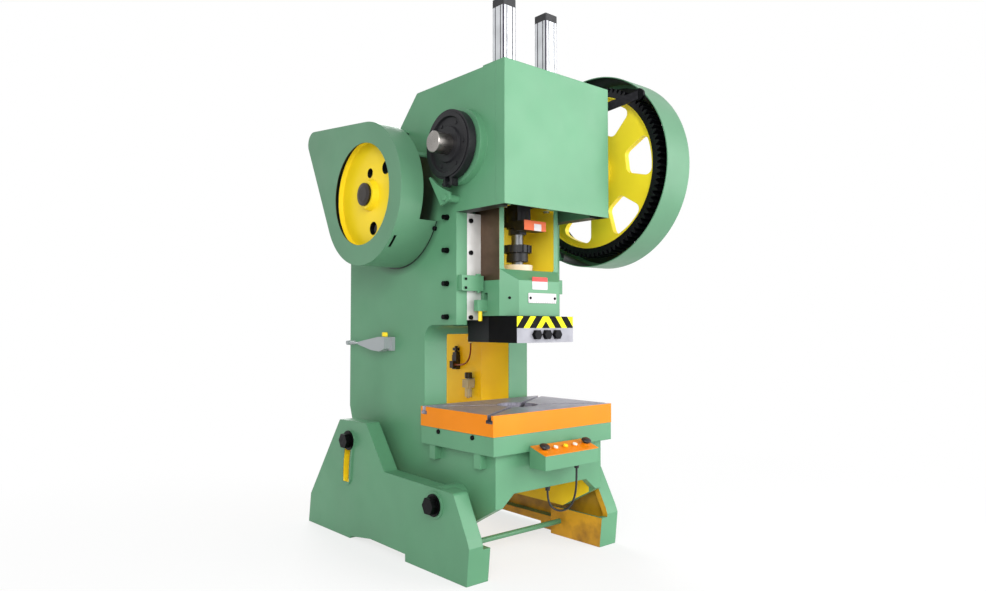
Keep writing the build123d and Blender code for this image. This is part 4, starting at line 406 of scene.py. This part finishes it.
def slide_finish():
    """Green outside, oiled on its guided sides, and yellow in its window, with painted light."""
    finish = paint("slide_paint", GREEN, 0.002)
    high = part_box("slide")[1]
    across = finish.math("ABSOLUTE", finish.coordinate("X"))
    oiled = finish.all_of(finish.math("GREATER_THAN", across, high.x - OILED_SKIN),
                          finish.math("GREATER_THAN", finish.coordinate("Z"), OILED_Z))
    window = finish.all_of(finish.math("LESS_THAN", across, high.x - WINDOW_WALL),
                           finish.math("GREATER_THAN", finish.coordinate("Y"), WINDOW_Y),
                           finish.math("GREATER_THAN", finish.coordinate("Z"), WINDOW_Z))
    # Painted light: the window's yellow is a lighter copy of the yellow paint
    colour = finish.blend(window, finish.mottled(GREEN), finish.mottled(WINDOW_YELLOW, 6.0, 0.08))
    finish.colour(finish.blend(oiled, colour, finish.mottled(BROWN_OIL, 9.0, 0.3)))
    finish.metallic(finish.math("MULTIPLY", oiled, 0.7))
    return finish


def clamp_finish():
    """Black iron, with a grey front under a band of hazard stripes."""
    finish = Finish("clamp_iron", roughness=0.5, specular=0.06)
    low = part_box("clamp_block")[0]
    front = finish.math("LESS_THAN", finish.coordinate("Y"), low.y + CLAMP_SKIN)
    height = finish.math("SUBTRACT", finish.coordinate("Z"), low.z)
    across = finish.math("ABSOLUTE", finish.coordinate("X"))
    climb = finish.math("ADD", across, finish.math("MULTIPLY", height, STRIPE_CLIMB))
    stripe = finish.math("FRACT", finish.math("DIVIDE", climb, STRIPE_PITCH))
    stripes = finish.blend(finish.math("GREATER_THAN", stripe, STRIPE_YELLOW), HAZARD_YELLOW, CLAMP_BLACK)
    band = finish.math("GREATER_THAN", height, STRIPE_LOW)
    face = finish.blend(band, finish.mottled(CLAMP_GREY, 18.0, 0.1), stripes)
    finish.colour(finish.blend(front, finish.mottled(CLAMP_BLACK, 12.0, 0.2), face))
    finish.roughness(0.35, 0.55, 30.0)
    finish.relief(finish.noise(300), 0.12, 0.0005, 0.0015)
    return finish


def wheel_finish(name, y, z, edge_radius, web, holes=()):
    """Yellow web inside a radius, black iron on the rim outside it, and painted shade in the holes."""
    finish = paint(name, web, 0.002)
    rim = finish.math("GREATER_THAN", finish.radius(y, z), edge_radius)
    # Painted shade: the walls of the through holes are dark
    for hole_y, hole_z, hole_radius in holes:
        rim = finish.any_of(rim, finish.math("LESS_THAN", finish.radius(hole_y, hole_z), hole_radius))
    finish.colour(finish.blend(rim, finish.mottled(web, 5.0, 0.06), finish.mottled(BLACK_IRON, 10.0, 0.25)))
    finish.metallic(finish.math("MULTIPLY", rim, 0.5))
    return finish


def guard_finish(name, y, z, painted_shade=GUARD_DARK):
    """Green outside, and dark on the inner side of the sheet: painted shade, with grease."""
    finish = paint(name, GUARD_GREEN, 0.002)
    across = finish.math("SUBTRACT", finish.coordinate("Y"), y)
    up = finish.math("SUBTRACT", finish.coordinate("Z"), z)
    outward = finish.math("ADD", finish.math("MULTIPLY", across, finish.facing("Y")),
                          finish.math("MULTIPLY", up, finish.facing("Z")))
    # Painted shade with grease on faces that look inward
    inner = finish.math("LESS_THAN", outward, -0.05)
    finish.colour(finish.blend(inner, finish.mottled(GUARD_GREEN), finish.mottled(painted_shade, 9.0, 0.2)))
    return finish


def rod_finish():
    """Black iron, with the lock block in orange and a pale plate on its front."""
    finish = paint("rod_paint", BLACK_IRON, 0.002, (0.40, 0.60), coat=0.05)
    front = finish.math("LESS_THAN", finish.coordinate("Y"), BLOCK_Y)
    pale = finish.all_of(front, finish.between(finish.coordinate("X"), *BLOCK_PLATE),
                         finish.math("LESS_THAN", finish.coordinate("Z"), BLOCK_PLATE_Z))
    colour = finish.blend(front, finish.mottled(BLACK_IRON, 10.0, 0.25), finish.mottled(LOCK_ORANGE, 12.0, 0.1))
    finish.colour(finish.blend(pale, colour, finish.mottled(PLATE_WHITE, 12.0, 0.06)))
    return finish


def gib_finish():
    """Pale ground steel with a dull sheen."""
    finish = machined("gib_steel", GIB_STEEL, (0.40, 0.55), (1, 1, 0.1))
    finish.shader.inputs["Metallic"].default_value = 0.25
    return finish


def cylinder_finish():
    """Bright extruded aluminium, with painted shade at its corners and in its grooves."""
    finish = machined("extruded_aluminium", ALUMINIUM, (0.30, 0.44), (18, 18, 0.6), 12.0)
    low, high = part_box("cylinder_tubes")
    half = (high.y - low.y) / 2
    across = finish.math("ABSOLUTE", finish.math("SUBTRACT", finish.math("ABSOLUTE", finish.coordinate("X")),
                                                 high.x - half))
    deep = finish.math("ABSOLUTE", finish.math("SUBTRACT", finish.coordinate("Y"), low.y + half))
    # Painted shade at the tube's corners and on the recessed faces of its grooves
    corner = finish.all_of(finish.math("GREATER_THAN", across, half - TUBE_CORNER),
                           finish.math("GREATER_THAN", deep, half - TUBE_CORNER))
    groove = finish.all_of(finish.math("LESS_THAN", across, half - SKIN),
                           finish.math("LESS_THAN", deep, half - SKIN))
    finish.colour(finish.blend(finish.any_of(corner, groove), finish.mottled(ALUMINIUM, 14.0, 0.12), GROOVE_DARK))
    finish.shader.inputs["Metallic"].default_value = 0.6
    return finish


def two_tone(name, first, second, letter, limit):
    """Moulded finish that changes colour at a height or depth."""
    finish = moulded(name, first)
    above = finish.math("GREATER_THAN", finish.coordinate(letter), limit)
    finish.colour(finish.blend(above, finish.mottled(first, 20.0), finish.mottled(second, 20.0)))
    return finish


green = paint("green_enamel", GREEN)
black_steel = machined("black_steel", BOLT_BLACK, (0.35, 0.55))
bright_steel = machined("bright_steel", STEEL)
oiled_steel = machined("oiled_steel", OILED_STEEL, (0.28, 0.45))
bronze = machined("turned_bronze", BRONZE)
black_iron = paint("black_iron", BLACK_IRON, 0.002, (0.40, 0.60), coat=0.05)
black_plastic = moulded("black_plastic", PLASTIC_BLACK)
white_plastic = moulded("white_plastic", PLASTIC_WHITE)
yellow_plastic = moulded("yellow_plastic", YELLOW)
rubber = moulded("belt_rubber", CABLE_BLACK, (0.55, 0.75))

dress(casting_finish(), "frame_casting")
dress(leg_finish("left_leg_paint", -1), "leg_left")
dress(leg_finish("right_leg_paint", 1), "leg_right")
dress(head_finish(), "head_cover")
dress(green, "brake_bracket", "motor_bracket", "control_box", "tie_rod", "stop_brackets")
dress(bolster_finish(), "bolster_plate")
dress(slide_finish(), "slide")
dress(clamp_finish(), "clamp_block")
dress(guard_finish("flywheel_guard_paint", DRIVE_Y, DRIVE_Z), "flywheel_guard")
dress(guard_finish("gear_guard_paint", 0, CRANK_Z, SHADE_AND_GREASE_DARK), "gear_guard")
dress(wheel_finish("gear_paint", 0, CRANK_Z, GEAR_RIM, GEAR_YELLOW), "main_gear")
dress(wheel_finish("flywheel_paint", DRIVE_Y, DRIVE_Z, FLYWHEEL_RIM, YELLOW, FLYWHEEL_HOLES), "flywheel")
dress(gib_finish(), "gib_left", "gib_right")
dress(black_steel, "leg_bolts", "gib_bolts", "rod_cap_bolts", "clamp_bolts", "gear_guard_strap")
dress(black_iron, "slide_foot", "brake_drum", "brake_band", "gear_end_plate", "rod_cap", "screw_nuts", "pinion")
dress(rod_finish(), "connecting_rod")
dress(bright_steel, "piston_rods")
dress(machined("screw_steel", SCREW_STEEL, (0.40, 0.55)), "adjusting_screw")
dress(paint("ball_cover_paint", COVER_CREAM, 0.001), "ball_cover")
dress(machined("crank_steel", CRANK_STEEL, (0.25, 0.40), (1, 12, 12), 30.0), "crankshaft")
dress(oiled_steel, "drive_shaft", "motor_pulley")
dress(bronze, "crank_bushes", "shaft_bushes", "gear_bush", "ball_seat")
dress(two_tone("knockout_finish", YELLOW, GREEN, "Z", PIN_TOP), "knockout_bar")
dress(cylinder_finish(), "cylinder_tubes")
dress(black_plastic, "cylinder_caps", "palm_button_left", "palm_button_right", "cable_glands", "solenoid_valve")
dress(rubber, "v_belts")
dress(paint("motor_paint", MOTOR_GREY, 0.001), "motor_housing")
dress(paint("panel_paint", ORANGE, 0.001), "control_panel")
dress(white_plastic, "small_button_left", "small_button_right", "tube_elbow")
dress(yellow_plastic, "small_button_middle", "valve_knob")
dress(paint("valve_paint", VALVE_GREY, 0.001), "valve_body")
dress(two_tone("regulator_finish", REGULATOR_GREY, PLASTIC_BLACK, "Z", BOWL_TOP), "air_regulator")


# Cords
def cord(name, points, radius, finish):
    """Smooth round cord on a NURBS spline."""
    curve = bpy.data.curves.new(name, "CURVE")
    curve.dimensions = "3D"
    curve.bevel_depth = radius
    curve.bevel_resolution = 5
    curve.use_fill_caps = True
    spline = curve.splines.new("NURBS")
    spline.points.add(len(points) - 1)
    for target, point in zip(spline.points, points):
        target.co = (*point, 1.0)
    spline.order_u = 3
    spline.use_endpoint_u = True
    spline.resolution_u = 24
    piece = bpy.data.objects.new(name, curve)
    bpy.context.collection.objects.link(piece)
    curve.materials.append(finish.material)
    return piece


cable_points = ((0.062, -0.262, 0.367), (0.062, -0.262, 0.3212), (0.0591, -0.2582, 0.2664),
                (0.0488, -0.2445, 0.2194), (0.0278, -0.2165, 0.1994), (0.0062, -0.1879, 0.209),
                (-0.005, -0.173, 0.241), (-0.005, -0.173, 0.277))
cable = cord("control_cable_cord", cable_points, 0.004, moulded("cable_rubber", CABLE_BLACK, (0.4, 0.55)))
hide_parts("control_cable")
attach(cable, "press_frame")

tube_points = ((0.223, 0.568, 0.821), (0.223, 0.568, 0.786), (0.222, 0.577, 0.748), (0.221, 0.604, 0.720),
               (0.219, 0.646, 0.713), (0.219, 0.687, 0.713))
tube = cord("air_tube_cord", tube_points, 0.004, moulded("tube_plastic", TUBE_BROWN, (0.25, 0.4)))
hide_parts("air_tube")
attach(tube, "press_frame")


# Plates and small fittings
def fit(name, form, finish, body):
    """Turns a form into a piece that rides on a body."""
    bmesh.ops.recalc_face_normals(form, faces=form.faces)
    mesh = bpy.data.meshes.new(name)
    form.to_mesh(mesh)
    form.free()
    mesh.materials.append(finish.material)
    piece = bpy.data.objects.new(name, mesh)
    bpy.context.collection.objects.link(piece)
    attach(piece, body)
    return piece


def plate(name, low, high, corner, finish, body):
    """Thin plate in the XZ plane with rounded corners and a soft edge, from low to high corner."""
    form = bmesh.new()
    outline = []
    centres = ((high[0] - corner, high[2] - corner, 0), (low[0] + corner, high[2] - corner, 90),
               (low[0] + corner, low[2] + corner, 180), (high[0] - corner, low[2] + corner, 270))
    for x, z, start in centres:
        for step in range(7):
            turn = math.radians(start + 15 * step)
            outline.append(form.verts.new((x + corner * math.cos(turn), low[1], z + corner * math.sin(turn))))
    face = form.faces.new(outline)
    back = bmesh.ops.extrude_face_region(form, geom=[face])
    moved = [item for item in back["geom"] if isinstance(item, bmesh.types.BMVert)]
    bmesh.ops.translate(form, verts=moved, vec=(0, high[1] - low[1], 0))
    bevel = fit(name, form, finish, body).modifiers.new("edge", "BEVEL")
    bevel.width = min(0.0006, (high[1] - low[1]) / 3)
    bevel.segments = 2


HEAD_STEPS = 24


def screw(name, seat, out, radius, height, finish, body, material_slot):
    """Domed screw head on an upright seat, with its top pointing out."""
    form = bmesh.new()
    seat = Vector(seat)
    out = Vector(out)
    up = Vector((0, 0, 1))
    side = out.cross(up)
    rings = []
    for ring_radius, rise in ((radius, 0), (radius, 0.45), (0.86 * radius, 0.78), (0.5 * radius, 0.95)):
        corners = []
        for step in range(HEAD_STEPS):
            turn = 2 * math.pi * step / HEAD_STEPS
            corners.append(form.verts.new(seat + side * ring_radius * math.cos(turn)
                                          + up * ring_radius * math.sin(turn) + out * height * rise))
        rings.append(corners)
    tip = form.verts.new(seat + out * height)
    for lower, upper in zip(rings, rings[1:]):
        for step in range(HEAD_STEPS):
            after = (step + 1) % HEAD_STEPS
            form.faces.new((lower[step], lower[after], upper[after], upper[step]))
    for step in range(HEAD_STEPS):
        form.faces.new((rings[-1][step], rings[-1][(step + 1) % HEAD_STEPS], tip))
    form.faces.new(list(reversed(rings[0])))
    for face in form.faces:
        face.smooth = True
    fit(name, form, finish, body)


RING_STEPS = 120


def ring(name, x, y, z, inner, outer, thickness, finish, body, material_slot):
    """Flat sheet ring round an axis along X."""
    form = bmesh.new()
    loops = []
    for radius, side in ((inner, x), (outer, x), (outer, x + thickness), (inner, x + thickness)):
        loop = []
        for step in range(RING_STEPS):
            turn = 2 * math.pi * step / RING_STEPS
            loop.append(form.verts.new((side, y + radius * math.cos(turn), z + radius * math.sin(turn))))
        loops.append(loop)
    for first, second in zip(loops, loops[1:] + loops[:1]):
        for step in range(RING_STEPS):
            after = (step + 1) % RING_STEPS
            form.faces.new((first[step], first[after], second[after], second[step]))
    fit(name, form, finish, body)


def ring_finish():
    """Green outside, and dark toward the gear: painted shade of the hoop's inside."""
    finish = paint("ring_paint", GUARD_GREEN, 0.0005)
    # Painted shade on the faces that look toward the gear
    toward_gear = finish.math("LESS_THAN", finish.facing("X"), 0.5)
    finish.colour(finish.blend(toward_gear, finish.mottled(GUARD_GREEN), finish.mottled(GUARD_DARK, 9.0, 0.2)))
    return finish


def scale_finish():
    """White plate with the ticks of a stroke scale along its lower edge."""
    finish = moulded("scale_white", PLATE_WHITE)
    share = finish.math("FRACT", finish.math("DIVIDE", finish.coordinate("X"), TICK_PITCH))
    tick = finish.math("LESS_THAN", share, TICK_SHARE)
    low_part = finish.math("LESS_THAN", finish.coordinate("Z"), SCALE_LOW + TICK_HEIGHT)
    ticks = finish.math("MULTIPLY", tick, low_part)
    finish.colour(finish.blend(ticks, finish.mottled(PLATE_WHITE, 20.0, 0.04), TICK_GREY))
    return finish


PAD_Y = -0.127
SCALE_FACE = PAD_Y - 0.003
SCALE_LOW = 0.994
SCALE_HIGH = 1.033
SCALE_MIDDLE = (SCALE_LOW + SCALE_HIGH) / 2
TICK_PITCH = 0.01
TICK_SHARE = 0.14
TICK_HEIGHT = 0.009
SIGN_BAND = 1.078
plate("stroke_scale", (-0.062, SCALE_FACE, SCALE_LOW), (0.092, PAD_Y, SCALE_HIGH), 0.004, scale_finish(), "ram")
sign = moulded("sign_white", PLATE_WHITE)
red_share = sign.math("GREATER_THAN", sign.coordinate("Z"), SIGN_BAND)
sign.colour(sign.blend(red_share, sign.mottled(PLATE_WHITE, 20.0, 0.04), sign.mottled(SIGN_RED, 20.0, 0.06)))
plate("sign_plate", (-0.040, PAD_Y - 0.0015, 1.047), (0.044, PAD_Y, 1.096), 0.003, sign, "ram")

STOP_X = 0.259
STOP_Y = 0.0105
TABLE_X = 0.318
FRONT = (0, -1, 0)
LEFT = (-1, 0, 0)
CHAMFER = (-0.7266, -0.6870, 0)
SMALL_HEAD = (0.0055, 0.004)
TABLE_HEAD = (0.009, 0.008)
FLANGE_HEAD = (0.009, 0.014)
SCREWS = (
    ("scale_screw_0", (-0.052, SCALE_FACE, SCALE_MIDDLE), FRONT, SMALL_HEAD, "ram"),
    ("scale_screw_1", (0.082, SCALE_FACE, SCALE_MIDDLE), FRONT, SMALL_HEAD, "ram"),
    ("guard_flange_screw", (-OUTER_X, 0.1706, 1.2925), LEFT, FLANGE_HEAD, "press_frame"),
    ("table_screw_0", (-TABLE_X, 0.103, 0.500), LEFT, TABLE_HEAD, "press_frame"),
    ("table_screw_1", (-TABLE_X, -0.102, 0.500), LEFT, TABLE_HEAD, "press_frame"),
    ("stop_screw_0", (-STOP_X, STOP_Y, 1.086), FRONT, SMALL_HEAD, "press_frame"),
    ("stop_screw_1", (-STOP_X, STOP_Y, 1.052), FRONT, SMALL_HEAD, "press_frame"),
    ("slide_nipple", (-0.1347, -0.1009, 1.0131), CHAMFER, SMALL_HEAD, "ram"),
)
for name, seat, out, head, body in SCREWS:
    screw(name, seat, out, *head, black_steel, body, "dark_steel")

RING_SHEET = 0.0015
RING_INNER = 0.034
RING_OUTER = 0.024
GUARD_SHEET = 0.004
HOOP_RIGHT = 0.586
GEAR_LOW, GEAR_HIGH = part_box("main_gear")
GEAR_TIP = (GEAR_HIGH.z - GEAR_LOW.z) / 2
# The ring's face toward the gear is painted shade for the dark band between the gear teeth and the hoop
ring("guard_edge_ring", HOOP_RIGHT - GUARD_SHEET - RING_SHEET, 0.0, CRANK_Z, GEAR_TIP - RING_INNER,
     GEAR_TIP + RING_OUTER, RING_SHEET, ring_finish(), "press_frame", "green_paint")


# Floor, light and camera
def flat(name, half, z, material):
    """Square sheet at a height."""
    mesh = bpy.data.meshes.new(name)
    mesh.from_pydata([(-half, -half, z), (half, -half, z), (half, half, z), (-half, half, z)], [], [(0, 1, 2, 3)])
    mesh.materials.append(material)
    piece = bpy.data.objects.new(name, mesh)
    bpy.context.collection.objects.link(piece)
    return piece


def pale_floor():
    """Pale floor that keeps the shadow and fades to the white of the background."""
    material = bpy.data.materials.new("pale_floor")
    material.use_nodes = True
    tree = material.node_tree
    tree.nodes.clear()
    matte = tree.nodes.new("ShaderNodeBsdfDiffuse")
    matte.inputs["Color"].default_value = (0.86, 0.86, 0.86, 1.0)
    white = tree.nodes.new("ShaderNodeEmission")
    white.inputs["Color"].default_value = (1.0, 1.0, 1.0, 1.0)
    white.inputs["Strength"].default_value = 1.0
    path = tree.nodes.new("ShaderNodeLightPath")
    seen = tree.nodes.new("ShaderNodeMath")
    seen.operation = "MAXIMUM"
    tree.links.new(path.outputs["Is Camera Ray"], seen.inputs[0])
    tree.links.new(path.outputs["Is Glossy Ray"], seen.inputs[1])
    place = tree.nodes.new("ShaderNodeTexCoord")
    distance = tree.nodes.new("ShaderNodeVectorMath")
    distance.operation = "LENGTH"
    tree.links.new(place.outputs["Object"], distance.inputs[0])
    fade = tree.nodes.new("ShaderNodeMapRange")
    fade.inputs["From Min"].default_value = 0.8
    fade.inputs["From Max"].default_value = 3.0
    fade.inputs["To Min"].default_value = 0.72
    fade.inputs["To Max"].default_value = 1.0
    tree.links.new(distance.outputs["Value"], fade.inputs["Value"])
    share = tree.nodes.new("ShaderNodeMath")
    share.operation = "MULTIPLY"
    tree.links.new(seen.outputs[0], share.inputs[0])
    tree.links.new(fade.outputs["Result"], share.inputs[1])
    mix = tree.nodes.new("ShaderNodeMixShader")
    output = tree.nodes.new("ShaderNodeOutputMaterial")
    tree.links.new(share.outputs[0], mix.inputs[0])
    tree.links.new(matte.outputs[0], mix.inputs[1])
    tree.links.new(white.outputs[0], mix.inputs[2])
    tree.links.new(mix.outputs[0], output.inputs["Surface"])
    return material


floor = flat("studio_floor", 30.0, -0.0005, pale_floor())

world = bpy.data.worlds.new("studio")
bpy.context.scene.world = world
world.use_nodes = True
sky = world.node_tree
sky.nodes.clear()
soft = sky.nodes.new("ShaderNodeBackground")
soft.inputs["Color"].default_value = (1.0, 1.0, 1.0, 1.0)
soft.inputs["Strength"].default_value = 0.5
plain = sky.nodes.new("ShaderNodeBackground")
plain.inputs["Color"].default_value = (1.0, 1.0, 1.0, 1.0)
plain.inputs["Strength"].default_value = 1.0
path = sky.nodes.new("ShaderNodeLightPath")
seen = path.outputs["Is Camera Ray"]
for kind in ("Is Glossy Ray", "Is Transmission Ray"):
    either = sky.nodes.new("ShaderNodeMath")
    either.operation = "MAXIMUM"
    sky.links.new(seen, either.inputs[0])
    sky.links.new(path.outputs[kind], either.inputs[1])
    seen = either.outputs[0]
mix = sky.nodes.new("ShaderNodeMixShader")
sky.links.new(seen, mix.inputs[0])
sky.links.new(soft.outputs[0], mix.inputs[1])
sky.links.new(plain.outputs[0], mix.inputs[2])
output = sky.nodes.new("ShaderNodeOutputWorld")
sky.links.new(mix.outputs[0], output.inputs["Surface"])


def lamp(name, place, target, size, power):
    """Square softbox at a place, turned toward a target."""
    light = bpy.data.lights.new(name, "AREA")
    light.size = size
    light.energy = power
    piece = bpy.data.objects.new(name, light)
    piece.location = place
    piece.rotation_euler = (Vector(target) - Vector(place)).to_track_quat("-Z", "Y").to_euler()
    bpy.context.collection.objects.link(piece)


MIDDLE = (0.0, 0.2, 1.1)
lamp("front_softbox", (2.6, -4.2, 1.9), MIDDLE, 4.0, 225.0)
lamp("left_softbox", (-2.8, -3.0, 2.3), MIDDLE, 2.2, 122.0)
lamp("rear_softbox", (1.5, 4.4, 3.4), MIDDLE, 2.4, 150.0)

camera_data = bpy.data.cameras.new("camera")
camera_data.lens = 26.967
camera_data.sensor_width = 36.0
camera_data.sensor_fit = "HORIZONTAL"
camera_data.clip_end = 100.0
camera = bpy.data.objects.new("camera", camera_data)
camera.location = (-2.03866, -2.18395, 0.91218)
CAMERA_TURN = math.radians(41.14)
CAMERA_RISE = math.radians(2.22)
camera.rotation_euler = (math.radians(90) + CAMERA_RISE, 0.0, -CAMERA_TURN)
bpy.context.collection.objects.link(camera)
bpy.context.scene.camera = camera

view = bpy.context.scene.view_settings
view.view_transform = "Standard"
